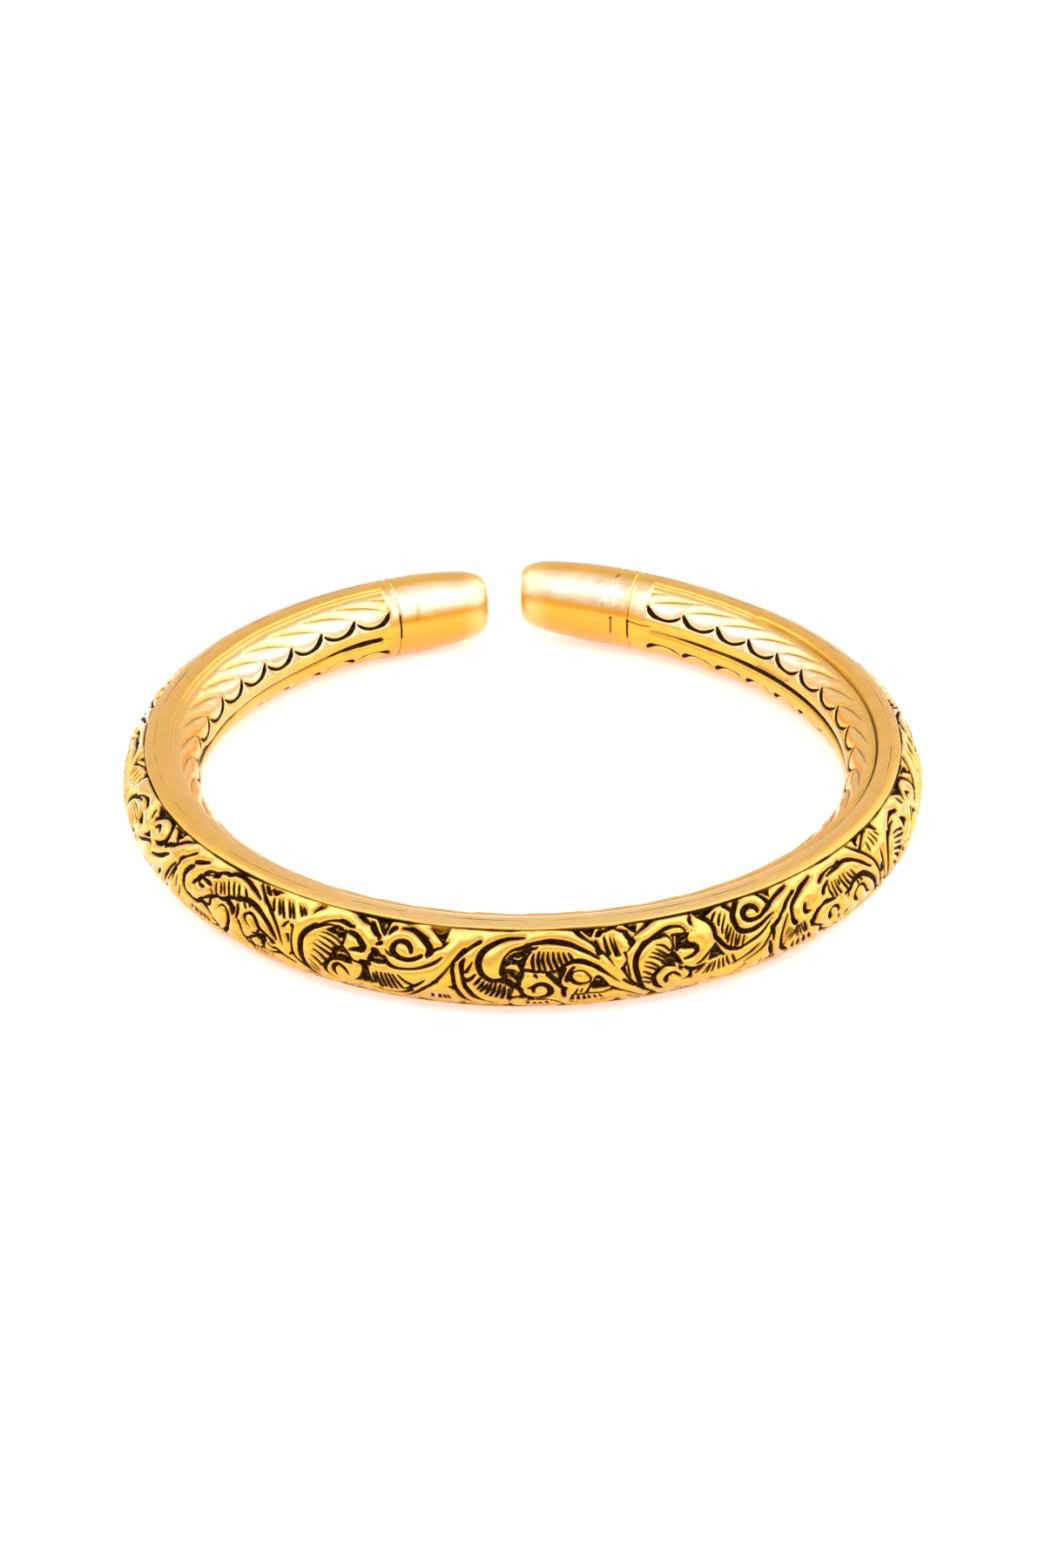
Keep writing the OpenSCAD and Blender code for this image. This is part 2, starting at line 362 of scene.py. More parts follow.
def blurred(grid, times):
    for _ in range(times):
        for axis in (0, 1):
            grid = (2 * grid + np.roll(grid, 1, axis) + np.roll(grid, -1, axis)) / 4
    return grid


def matting(plate):
    """The small uneven bumps that the matting punch leaves."""
    bumps = blurred(np.random.default_rng(5).normal(size=plate.depth.shape), 3)
    return bumps / bumps.std()


def worn_rise(plate):
    """Height of the carved surface. Each form is rounded towards the cuts on its sides."""
    rise = (plate.base - plate.depth - plate.pillow * np.exp(-plate.near / PILLOW_REACH)
            - plate.edge_wear * np.exp(-plate.near / EDGE_REACH))
    return blurred(rise + plate.floor * 0.06 * matting(plate), 1)


def old_oxide(plate):
    """Share of old oxide left in the cuts, which no polishing reaches."""
    kept = np.clip(plate.depth / OXIDE_DEEP, 0, 1) * plate.stain
    kept -= plate.floor * 0.55 * np.clip(matting(plate) - 0.1, 0, 1)
    return blurred(kept, 1) + 2 * plate.edge_wear * np.exp(-plate.near / OXIDE_REACH)


print("the test recess keeps oxide up to a share of", round(old_oxide(test_plate).max(), 2))

# %% [markdown]
# ## The scroll, stroke by stroke
# The scroll was charted as three neighbouring motifs, each cut a little differently by hand, as
# on the real piece. Each row is one groove: first its places, along the hoop and up the outer
# face by turns, then its widths, all in hundredths of a mm, and last which side is notched, if
# any. A picture laid on as a texture would be quicker, but strokes stay sharp at any size and
# can be recut one by one. The front motif starts with a great leaf, whose veins end at a volute.

# %% The great leaf
LEFT_TEETH, RIGHT_TEETH, FINE_TEETH = 0.19, -0.19, -0.12        # mm, by side
GREAT_LEAF = [
    ((-2125, 190, -2125, 100, -2120, 0, -2105, -80, -2060, -150, -2010, -200, -1960, -260, -1910, -340),
      (12, 12, 22, 28, 30)),
    ((-2150, -110, -2110, -80), (5, 25)),
    ((-1890, 265, -1940, 220, -1985, 170, -2015, 110, -2025, 30, -2020, -50, -2000, -120, -1970, -190,
      -1930, -260, -1880, -330), (30, 34, 36, 36, 30, 20, 15), RIGHT_TEETH),
    ((-1875, 275, -1830, 310, -1780, 340, -1720, 365, -1670, 372), (8, 14, 20)),
    ((-1680, 375, -1620, 365, -1580, 345, -1540, 335), (20, 26, 22, 12), LEFT_TEETH),
    ((-1890, 255, -1840, 280, -1780, 305, -1710, 315), (30, 20, 10)),
    ((-1835, 220, -1740, 215, -1670, 192, -1620, 165), (6, 12, 14, 20)),
    ((-1850, 185, -1760, 165, -1675, 135, -1620, 120), (6, 16, 20)),
    ((-1860, 140, -1780, 110, -1700, 85), (5, 12, 16)),
    ((-1900, 95, -1800, 60, -1710, 25), (5, 16, 26)),
    ((-1900, 40, -1830, 10, -1770, -35), (6, 16, 26)),
    ((-1920, -25, -1860, -60, -1820, -110), (6, 18, 24)),
    ((-1940, -80, -1890, -140, -1850, -195), (5, 16, 20)),
    ((-1945, -140, -1900, -210, -1860, -260), (5, 16, 20)),
]
LEAF_TIPS = [
    ((-1505, 465, -1450, 430, -1400, 400), (22, 26, 12)),
    ((-1385, 415, -1360, 370, -1320, 325), (28, 34, 25), LEFT_TEETH),
    ((-1320, 335, -1285, 305, -1290, 275), (30, 26, 12)),
    ((-1305, 230, -1265, 250), (12, 28)),
    ((-1575, 285, -1530, 275, -1485, 250, -1455, 215, -1425, 185, -1430, 160, -1480, 148, -1535, 135),
      (20, 28, 30, 38, 42, 20, 8), LEFT_TEETH),
    ((-1605, 290, -1605, 230, -1610, 170), (20, 14, 14)),
    ((-1620, 150, -1580, 120, -1540, 80, -1510, 35, -1460, 20, -1420, 10), (14, 16, 14, 18)),
    ((-1430, 20, -1390, 25, -1355, 20), (30, 26, 20), LEFT_TEETH),
    ((-1960, 375, -1935, 420, -1895, 465), (6, 20, 34)),
]
LOW_VOLUTE = [
    ((-1550, -160, -1570, -110, -1595, -70, -1640, -50, -1680, -75, -1695, -120, -1685, -170, -1665, -210),
      (8, 24, 30, 30, 34, 30, 24, 10)),
    ((-1510, -8, -1560, -5, -1630, 2, -1710, -12, -1750, -50, -1780, -100, -1785, -160, -1760, -210,
      -1720, -250, -1660, -280), (10, 14, 20, 30, 40, 36, 30, 26, 16)),
]
COMB = [
    ((-1310, -60, -1305, -120, -1300, -190), (10, 20, 16)),
    ((-1280, -40, -1270, -130, -1250, -240), (10, 20, 20)),
    ((-1240, -40, -1230, -120, -1210, -220), (10, 20, 20)),
    ((-1205, -40, -1190, -110, -1160, -230), (10, 20, 20)),
    ((-1175, -35, -1150, -100, -1110, -220), (10, 20, 20)),
    ((-1140, -35, -1100, -110, -1055, -200), (10, 20, 20)),
    ((-1095, -30, -1040, -90, -970, -135), (8, 16, 26)),
]
print(len(GREAT_LEAF + LEAF_TIPS + LOW_VOLUTE + COMB), "cuts in the great leaf, its volute and comb")

# %% [markdown]
# ## The volute above, and the stems
# A second volute is wound above the comb. Two stems rise beside it from the lower border, where
# a few short ticks fill the corner. A stem is only the metal left between two long cuts, so we
# chart the cuts and never the stem.

# %% The stems
HIGH_VOLUTE = [
    ((-985, 195, -995, 240, -1020, 275, -1060, 290, -1110, 280, -1140, 240, -1140, 190, -1100, 155,
      -1040, 140, -980, 145, -930, 165, -880, 195), (8, 26, 30, 20, 24, 34, 34, 22, 20, 20, 16, 10),
      RIGHT_TEETH),
    ((-1205, 345, -1180, 390, -1150, 415), (10, 26, 30)),
    ((-1090, 415, -1030, 420, -980, 410, -930, 375, -880, 330, -835, 285, -820, 240, -840, 195),
      (8, 16, 24, 26, 34, 44, 42, 26), LEFT_TEETH),
    ((-1060, 460, -990, 445, -920, 410, -845, 355), (5, 10, 12, 18)),
    ((-1220, 120, -1170, 60, -1100, 40, -1020, 45, -930, 60, -840, 95, -760, 140, -700, 195),
      (34, 30, 16, 13, 16, 20, 20, 8)),
    ((-1220, 200, -1180, 160, -1150, 140), (5, 14, 6)),
    ((-810, 210, -780, 250, -720, 280, -690, 295), (26, 20, 16, 8)),
    ((-695, 310, -655, 340), (20, 6)),
]
RISE = [
    ((-510, 275, -570, 210, -630, 130, -690, 40, -750, -40, -800, -95, -870, -160, -940, -240, -1000, -310),
      (36, 20, 10, 14, 20, 20, 26, 28, 20)),
    ((-740, -50, -775, -65), (10, 22)),
    ((-850, -50, -900, -100, -960, -150, -1030, -200), (6, 22, 32, 22)),
    ((-385, 370, -450, 320, -490, 280, -540, 230, -585, 170), (30, 22, 20, 26, 10)),
    ((-600, 150, -615, 90, -605, 0, -595, -80, -570, -150, -530, -230, -480, -300),
      (16, 26, 22, 26, 36, 38, 30)),
    ((-640, -95, -595, -115), (10, 30)),
    ((-510, 200, -535, 150, -535, 90, -530, 20, -515, -50, -510, -110), (14, 34, 30, 22, 30, 10)),
    ((-440, 180, -470, 120, -500, 70), (6, 12, 18)),
    ((-510, 10, -510, -60, -480, -120, -440, -190, -380, -260, -290, -310), (16, 30, 40, 46, 40, 30)),
]
RISE_TICKS = [
    ((-800, -210, -800, -290), (8, 20)),
    ((-730, -210, -735, -290), (8, 24)),
    ((-695, -210, -685, -290), (8, 20)),
    ((-660, -210, -645, -290), (8, 20)),
]
print(len(HIGH_VOLUTE + RISE + RISE_TICKS), "cuts in the volute above and the stems")

# %% [markdown]
# ## The curled leaf
# At the middle a leaf curls over, with cuts like a comb along its outer side and a hatched half
# leaf beyond. The veins start thin, swell and thin out again, which is what makes a leaf look
# rounded, so most of them have three widths.

# %% The curled leaf
CURLED_LEAF = [
    ((10, 415, -30, 412, -120, 405, -200, 380, -270, 340, -330, 295, -370, 240, -385, 170, -375, 100,
      -340, 45, -280, 10, -220, 10, -160, 30), (5, 14, 22, 28, 34, 36, 34, 26, 22, 26), RIGHT_TEETH),
    ((-415, 60, -445, 20, -485, -10), (8, 16, 24)),
    ((-375, 20, -395, -10, -425, -45), (14, 22, 16)),
    ((-345, -10, -365, -50, -395, -95), (12, 24, 16)),
    ((-310, -30, -335, -80, -370, -125), (12, 24, 16)),
    ((-275, -25, -295, -90, -325, -160), (12, 24, 18)),
    ((-240, -30, -255, -110, -285, -190), (12, 24, 18)),
    ((-200, -40, -210, -120, -235, -205), (14, 25, 20)),
    ((-165, -60, -168, -140, -185, -230), (14, 25, 20)),
    ((-125, -90, -122, -160, -130, -240), (14, 24, 20)),
    ((-260, -10, -200, -10, -140, -40, -100, -80, -95, -140), (6, 14, 14, 8)),
    ((-200, 60, -205, 120, -185, 190, -160, 240, -100, 295, -20, 320, 60, 342),
      (20, 12, 14, 12, 20, 30, 16)),
    ((10, 340, 80, 350, 140, 360, 200, 375, 270, 375, 340, 360, 420, 330, 500, 280, 580, 230, 640, 185),
      (14, 16, 24, 34, 34, 30, 22, 16, 12, 5), LEFT_TEETH),
    ((15, 315, 80, 308, 125, 320), (20, 20, 8)),
    ((300, 110, 340, 140, 390, 168, 440, 180, 500, 175, 560, 150, 620, 120, 670, 80, 720, 35, 770, -10,
      830, -70), (16, 26, 28, 34, 34, 26, 30, 20, 12, 10, 5)),
    ((85, 260, 75, 200, 85, 110), (10, 22, 16)),
    ((135, 280, 125, 200, 140, 110), (10, 22, 16)),
    ((175, 280, 165, 200, 185, 115), (8, 20, 14)),
    ((210, 280, 212, 200, 245, 105), (8, 20, 14)),
    ((252, 280, 260, 200, 295, 110), (8, 22, 16)),
    ((295, 280, 305, 210, 335, 140), (8, 20, 16)),
    ((338, 275, 350, 225, 375, 165), (8, 20, 16)),
    ((382, 270, 400, 230, 420, 190), (6, 18, 18)),
    ((5, 110, 50, 108, 90, 95, 150, 100, 220, 90, 290, 100), (16, 12, 10, 10, 12, 18), RIGHT_TEETH),
]
print(len(CURLED_LEAF), "cuts in the curled leaf")

# %% [markdown]
# ## The low curl and the fork
# Below the curled leaf lies a small curl with a round bud, and a wavy border with ticks runs
# under them. The forked leaf at the right leads on to the next motif.

# %% The low curl and the fork
LOW_CURL = [
    ((200, 62, 240, 25, 280, -20, 320, -70), (20, 24, 30, 20), LEFT_TEETH),
    ((90, -130, 85, -80, 110, -50, 160, -40, 200, -60, 225, -100, 225, -140, 200, -175, 150, -195, 90, -198,
      20, -185), (8, 20, 24, 24, 34, 36, 34, 28, 20, 20, 30), LEFT_TEETH),
    ((35, -75, 90, -60), (12, 20)),
    ((95, 55, 110, 35), (20, 12)),
    ((-35, -90, -20, -140, 15, -185), (30, 22, 30)),
    ((405, 0, 400, 40, 420, 75, 460, 90, 510, 85, 550, 45, 572, 10, 560, -20, 530, -35, 480, -40, 440, -30,
      410, -5), (30, 18, 10, 10, 12, 14, 14, 16, 26, 30)),
    ((370, -10, 380, 40, 405, 90, 440, 130), (22, 20, 14, 5), LEFT_TEETH),
    ((460, -90, 450, -140, 430, -190), (6, 14, 12)),
    ((500, -90, 492, -140), (6, 12)),
    ((575, -40, 560, -100, 540, -160), (14, 14, 16)),
    ((725, -95, 780, -130, 850, -185, 930, -240, 1020, -310), (12, 10, 12, 20, 20)),
]
LOW_BORDER = [
    ((410, -180, 500, -178, 580, -170, 660, -180, 720, -160, 770, -145, 830, -175, 910, -220),
      (10, 22, 20, 22, 22, 26, 18, 10)),
    ((425, -200, 420, -275), (12, 26)),
    ((470, -200, 480, -280), (10, 22)),
    ((520, -200, 535, -285), (10, 22)),
    ((560, -200, 580, -275), (8, 18)),
    ((610, -205, 635, -270), (6, 16)),
    ((655, -205, 685, -265), (6, 14)),
]
FORK = [
    ((625, 350, 635, 300, 650, 240), (14, 24, 34)),
    ((590, 350, 630, 295, 690, 230, 740, 170, 785, 100), (10, 16, 16, 12, 5)),
    ((700, 380, 710, 300, 735, 220), (8, 18, 24)),
    ((750, 375, 765, 300, 800, 200), (6, 16, 18)),
    ((782, 375, 797, 300, 830, 195), (5, 12, 12)),
    ((710, 440, 760, 460, 825, 480), (20, 16, 22)),
    ((820, 450, 870, 425, 920, 415), (10, 22, 20)),
    ((905, 395, 930, 355, 970, 310), (26, 34, 28)),
    ((930, 305, 950, 280, 965, 295), (16, 18, 16)),
    ((950, 275, 920, 240, 910, 220), (10, 8, 5)),
    ((885, 200, 895, 150, 875, 100), (12, 6, 16)),
    ((860, 75, 880, 10, 910, -50, 950, -110, 1000, -160, 1060, -210, 1120, -260, 1180, -330),
      (26, 14, 20, 26, 30, 30, 26, 20)),
    ((900, 120, 905, 40, 920, -30), (5, 12, 6)),
    ((860, -50, 900, -90, 950, -130), (16, 14, 20)),
    ((470, 470, 490, 435, 540, 380, 595, 325, 625, 295), (34, 30, 16, 12, 16)),
]
print(len(LOW_CURL + LOW_BORDER + FORK), "cuts in the low curl, its border and the fork")

# %% [markdown]
# ## The motif to the right
# The same leaf, volutes and stems come again to the right, but no two are alike on the real
# piece, so this motif has a chart of its own. First its curl, the bands beside it and the
# curl above them.

# %% The right curls
RIGHT_CURL = [
    ((1445, 305, 1440, 330, 1415, 365, 1380, 380, 1320, 385, 1260, 370, 1210, 345, 1160, 320, 1110, 295,
      1060, 260, 1020, 220, 990, 170, 975, 120, 970, 60, 980, 0, 995, -60, 1010, -110, 1035, -160,
      1070, -230), (8, 12, 22, 26, 22, 28, 36, 36, 34, 26, 18), FINE_TEETH),
    ((1230, 320, 1270, 310, 1300, 270, 1315, 220, 1305, 170), (24, 14, 10, 10, 20)),
    ((1100, 300, 1170, 310, 1230, 320, 1260, 335), (10, 20, 30, 10)),
    ((1030, 250, 1060, 280, 1090, 305), (20, 24, 5)),
    ((1400, 175, 1490, 175, 1525, 150, 1530, 125, 1495, 95, 1450, 80, 1405, 72),
      (16, 34, 36, 26, 20, 12, 5), LEFT_TEETH),
    ((1595, 435, 1640, 400, 1680, 360, 1705, 310, 1715, 260, 1710, 210), (10, 26, 30, 26, 24, 20),
      LEFT_TEETH),
    ((1695, 125, 1650, 80, 1615, 50, 1570, 10, 1525, -15), (12, 18, 16)),
    ((1410, -10, 1450, -40, 1510, -60, 1560, -45, 1610, -30), (12, 20, 30, 20, 14), RIGHT_TEETH),
    ((1540, 460, 1515, 410, 1520, 375), (10, 20, 20)),
    ((1145, 485, 1090, 440, 1030, 400, 960, 340), (28, 22, 12, 5)),
    ((1205, 65, 1260, 55, 1310, 35), (12, 14, 10)),
    ((1255, -170, 1240, -110, 1260, -75, 1300, -60, 1340, -85, 1380, -130), (20, 34, 30, 24, 20, 8)),
    ((1315, 15, 1240, 35, 1190, 10, 1140, -35, 1125, -80, 1140, -130, 1170, -190, 1230, -260),
      (16, 20, 24, 36, 36, 30, 20)),
]
RIGHT_BANDS = [
    ((1720, 195, 1745, 160, 1780, 110, 1830, 60, 1880, 35, 1950, 20, 1990, 30, 2070, 55, 2150, 80,
      2220, 120, 2280, 165, 2320, 200), (34, 34, 30, 28, 26, 20, 22, 22, 18, 14, 5)),
    ((1705, 140, 1730, 90, 1760, 40, 1790, 5), (16, 20, 16)),
    ((1900, -130, 1980, -100, 2060, -60, 2120, -20, 2170, 10), (20, 22, 24, 5)),
    ((2010, -160, 2080, -120, 2160, -75, 2210, -30, 2260, 30, 2295, 80), (16, 22, 24, 12)),
    ((2270, -20, 2285, -80, 2300, -130, 2330, -200), (20, 38, 34, 20)),
    ((2310, 110, 2315, 40, 2310, -20), (34, 24, 10)),
    ((1650, 410, 1720, 460, 1790, 495), (24, 30, 20), LEFT_TEETH),
    ((1860, 500, 1910, 450, 1930, 420), (10, 30, 34)),
]
HIGH_CURL = [
    ((2195, 305, 2185, 345, 2150, 380, 2110, 385, 2070, 365, 2050, 330, 2055, 295, 2090, 265, 2150, 255,
      2210, 265, 2260, 295, 2310, 320, 2360, 355, 2420, 385, 2490, 415, 2580, 450),
      (16, 34, 38, 36, 24, 14, 20, 28, 16, 14, 20, 6), RIGHT_TEETH),
    ((2090, 510, 2030, 475, 1990, 420, 1950, 360, 1935, 300, 1945, 250, 1960, 210, 2010, 180, 2100, 165,
      2190, 185, 2270, 220, 2340, 245), (14, 22, 34, 36, 38, 36, 30, 22, 24, 16, 12, 5), RIGHT_TEETH),
    ((2260, 480, 2290, 430, 2320, 370), (16, 22, 30)),
    ((2390, 500, 2375, 450, 2365, 400), (20, 16, 10)),
]
print(len(RIGHT_CURL + RIGHT_BANDS + HIGH_CURL), "cuts in the right curls and bands")

# %% [markdown]
# ## Its stems, leaf and hatching
# Rows of hatching are many short cuts of one kind, made one beside the other with the same
# stroke of the hand. They share their widths, so each group gives these once.

# %% The right leaf
RIGHT_RISE = [
    ((2630, 360, 2560, 320, 2510, 280, 2470, 240, 2420, 200, 2390, 160, 2340, 125, 2310, 90),
      (26, 20, 22, 32, 20, 24, 36, 30)),
    ((2490, 180, 2450, 120, 2420, 50, 2400, -20, 2405, -90, 2420, -150, 2460, -190, 2520, -250),
      (8, 16, 20, 28, 30, 38, 30)),
    ((2890, 420, 2820, 390, 2750, 365, 2690, 330, 2630, 290, 2580, 250, 2550, 210, 2545, 150, 2550, 100,
      2580, 60), (8, 16, 24, 28, 24, 24, 20, 26, 34), RIGHT_TEETH),
    ((2660, 50, 2690, -10, 2710, -70), (5, 20, 20)),
    ((2710, 200, 2690, 150, 2710, 115, 2760, 105), (16, 34, 30, 10)),
    ((2790, 30, 2840, 65, 2890, 90, 2950, 115, 3020, 105, 3100, 95), (30, 40, 20, 34, 24, 10)),
    ((2750, 10, 2810, -60, 2860, -90, 2920, -130), (20, 20, 16, 20)),
    ((2950, 210, 2980, 250, 3050, 285), (30, 20, 14)),
]
RIGHT_LEAF = [
    ((2950, 320, 3000, 350, 3050, 365, 3150, 380, 3230, 375, 3290, 390), (24, 26, 14, 12, 20, 26)),
    ((3060, 330, 3150, 345, 3240, 350, 3340, 370, 3440, 340, 3520, 290, 3580, 240, 3640, 180, 3690, 145),
      (10, 20, 20, 26, 34, 24, 26, 20, 12)),
    ((3230, 85, 3300, 90, 3350, 130, 3400, 150, 3530, 150, 3590, 120, 3650, 80, 3700, 30, 3740, -30,
      3780, -110, 3840, -200), (16, 26, 30, 34, 36, 30, 30, 28, 24, 20), RIGHT_TEETH),
    ((3490, 490, 3540, 420, 3590, 370, 3630, 330, 3690, 260, 3740, 190, 3780, 120, 3810, 50, 3830, -30,
      3850, -80, 3900, -180), (12, 22, 28, 22, 20, 26, 26, 24, 24, 20)),
    ((3030, -90, 3000, -20, 3030, 20, 3080, 20, 3120, -10, 3135, -60), (34, 36, 20, 20, 26, 20)),
    ((3450, -100, 3390, -40, 3370, 0, 3400, 40, 3460, 55, 3520, 40, 3560, -10, 3590, -60, 3650, -100),
      (10, 28, 36, 22, 16, 22, 24, 20, 10)),
    ((3860, 80, 3870, 20), (30, 36)),
    ((3900, 220, 3890, 160, 3895, 100), (12, 24, 14)),
    ((3630, 420, 3650, 455, 3720, 485), (26, 24, 14)),
    ((3640, 360, 3690, 390, 3760, 430, 3840, 470), (26, 14, 14, 10)),
]
RIGHT_HATCHING = [
    ((6, 13, 14), [
        (1157, 245, 1229, 220, 1279, 170), (1150, 210, 1207, 170, 1257, 130),
        (1114, 184, 1170, 156, 1230, 113), (1086, 145, 1150, 124, 1207, 84),
        (1050, 100, 1114, 77, 1175, 27), (1043, 63, 1100, 34, 1157, 2), (1030, 10, 1064, -10, 1100, -37),
        (1020, -55, 1057, -62, 1100, -84), (1030, -100, 1100, -130)]),
    ((8, 15, 13), [
        (1786, 430, 1750, 390, 1718, 340), (1829, 400, 1800, 355, 1775, 290),
        (1870, 377, 1836, 320, 1800, 250, 1793, 205), (1865, 270, 1830, 205, 1815, 150),
        (1890, 240, 1850, 170, 1830, 115), (1907, 205, 1880, 135, 1860, 65),
        (1930, 170, 1910, 90, 1900, 35), (1964, 156, 1929, 63), (2007, 134, 1979, 56)]),
    ((6, 14, 12), [
        (1607, -37, 1560, -87, 1520, -120), (1657, -37, 1630, -100, 1600, -160),
        (1686, -37, 1660, -100, 1643, -160), (1710, -30, 1700, -100, 1690, -160),
        (1743, -20, 1750, -87, 1757, -150), (1780, -20, 1793, -87, 1807, -145),
        (1814, -10, 1836, -80, 1864, -130), (1870, -16, 1893, -66, 1910, -100)]),
    ((8, 17, 16), [
        (3035, 255, 3030, 200, 3070, 120), (3085, 260, 3090, 200, 3120, 110),
        (3140, 260, 3140, 200, 3180, 115), (3175, 250, 3180, 200), (3210, 270, 3220, 210, 3280, 110),
        (3260, 270, 3280, 200, 3320, 140), (3320, 250, 3340, 210, 3380, 160),
        (3380, 250, 3400, 210, 3430, 160), (3755, 370, 3750, 280), (3835, 390, 3840, 300),
        (3895, 410, 3910, 300), (3960, 390, 3990, 340), (3420, 110, 3445, 85), (3475, 120, 3500, 90)]),
    ((5, 10, 8), [
        (2440, 0, 2490, 50), (2430, -40, 2520, 30), (2440, -80, 2540, 10), (2460, -100, 2560, -10),
        (2500, -110, 2570, -30), (2590, -90, 2570, 20), (2620, -110, 2590, 30), (2660, -110, 2610, 30),
        (2690, -90, 2630, 40)]),
]
print(len(RIGHT_RISE + RIGHT_LEAF), "cuts and", len(RIGHT_HATCHING), "groups of hatching")

# %% [markdown]
# ## The motif to the left
# The left motif is the third hand-cut version. Its curl and volute sit further apart, and the
# stems between them are wider.

# %% The left curls
LEFT_CURL = [
    ((-3270, 390, -3310, 370, -3350, 350, -3400, 330, -3440, 305), (10, 20, 26, 28, 12), RIGHT_TEETH),
    ((-3420, 275, -3460, 250, -3490, 210, -3510, 170, -3510, 120, -3500, 70, -3480, 35, -3440, 0,
      -3390, -10, -3330, -20, -3280, -10, -3250, 15, -3220, 35),
      (10, 32, 34, 34, 36, 28, 20, 24, 20, 20, 26, 36), RIGHT_TEETH),
    ((-3380, 120, -3360, 150, -3330, 180, -3310, 220, -3270, 250, -3230, 280, -3170, 305),
      (8, 28, 30, 30, 20, 16, 10)),
    ((-3300, 240, -3250, 235, -3200, 230, -3160, 225, -3130, 215), (30, 20, 26, 34, 20)),
    ((-3290, 220, -3295, 180, -3270, 155, -3210, 165), (30, 22, 30, 10)),
    ((-3260, 280, -3230, 310, -3190, 335, -3120, 360), (24, 26, 20, 10)),
    ((-3140, 315, -3110, 325, -3080, 335), (26, 30, 20)),
    ((-3220, 0, -3170, -20, -3130, -35, -3095, -70), (24, 26, 32, 20)),
    ((-3210, 10, -3160, 20), (24, 16)),
    ((-3160, 0, -3110, 40, -3100, 110), (10, 20, 24)),
    ((-3200, 60, -3150, 90, -3100, 120, -3050, 140, -3010, 150), (14, 20, 30, 26, 14)),
    ((-3080, -110, -3040, -140, -3020, -190), (30, 34, 10)),
    ((-3610, 460, -3660, 440, -3710, 410, -3750, 370, -3790, 335, -3840, 300, -3900, 270, -3940, 230),
      (6, 26, 30, 24, 34, 36, 28)),
    ((-3800, 340, -3840, 370, -3880, 420, -3920, 450, -3990, 450), (14, 26, 26, 16, 5)),
    ((-3830, 205, -3890, 170, -3950, 130, -4010, 100, -4080, 75, -4150, 55), (8, 28, 32, 26, 22, 16)),
    ((-3490, 390, -3530, 350, -3590, 300, -3650, 250, -3640, 220, -3670, 170), (26, 20, 12, 30, 26, 10)),
    ((-3690, 190, -3740, 130, -3790, 60, -3840, -10, -3890, -100), (12, 22, 26, 26, 10)),
    ((-3670, 150, -3695, 90, -3710, 20), (34, 30, 10)),
    ((-3940, 0, -3970, -40, -4020, -100), (8, 24, 10)),
]
LEFT_VOLUTE = [
    ((-4310, 320, -4290, 360, -4240, 410, -4200, 440, -4150, 460, -4100, 460, -4050, 450, -4010, 410,
      -3980, 350, -3970, 290, -3990, 250, -4030, 220, -4080, 200, -4130, 195),
      (10, 30, 30, 24, 20, 20, 26, 30, 26, 36, 40, 34, 24, 10), LEFT_TEETH),
    ((-4240, 280, -4210, 320, -4180, 330, -4150, 310, -4120, 290), (10, 30, 30, 24, 8)),
    ((-4430, 480, -4370, 450, -4310, 410, -4270, 400), (10, 24, 34, 30)),
    ((-4410, 390, -4400, 350, -4380, 320), (20, 26, 14)),
    ((-4500, 30, -4440, 50, -4380, 80, -4310, 115, -4240, 140, -4200, 130, -4180, 100),
      (14, 20, 26, 24, 20, 30, 16)),
]
print(len(LEFT_CURL + LEFT_VOLUTE), "cuts in the left curl and volute")

# %% [markdown]
# ## Its leaf and hatching
# The left leaf is the largest of the three, with long veins that follow its edge. Its last
# stretch is the great leaf again, which a later cell repeats from the front motif.

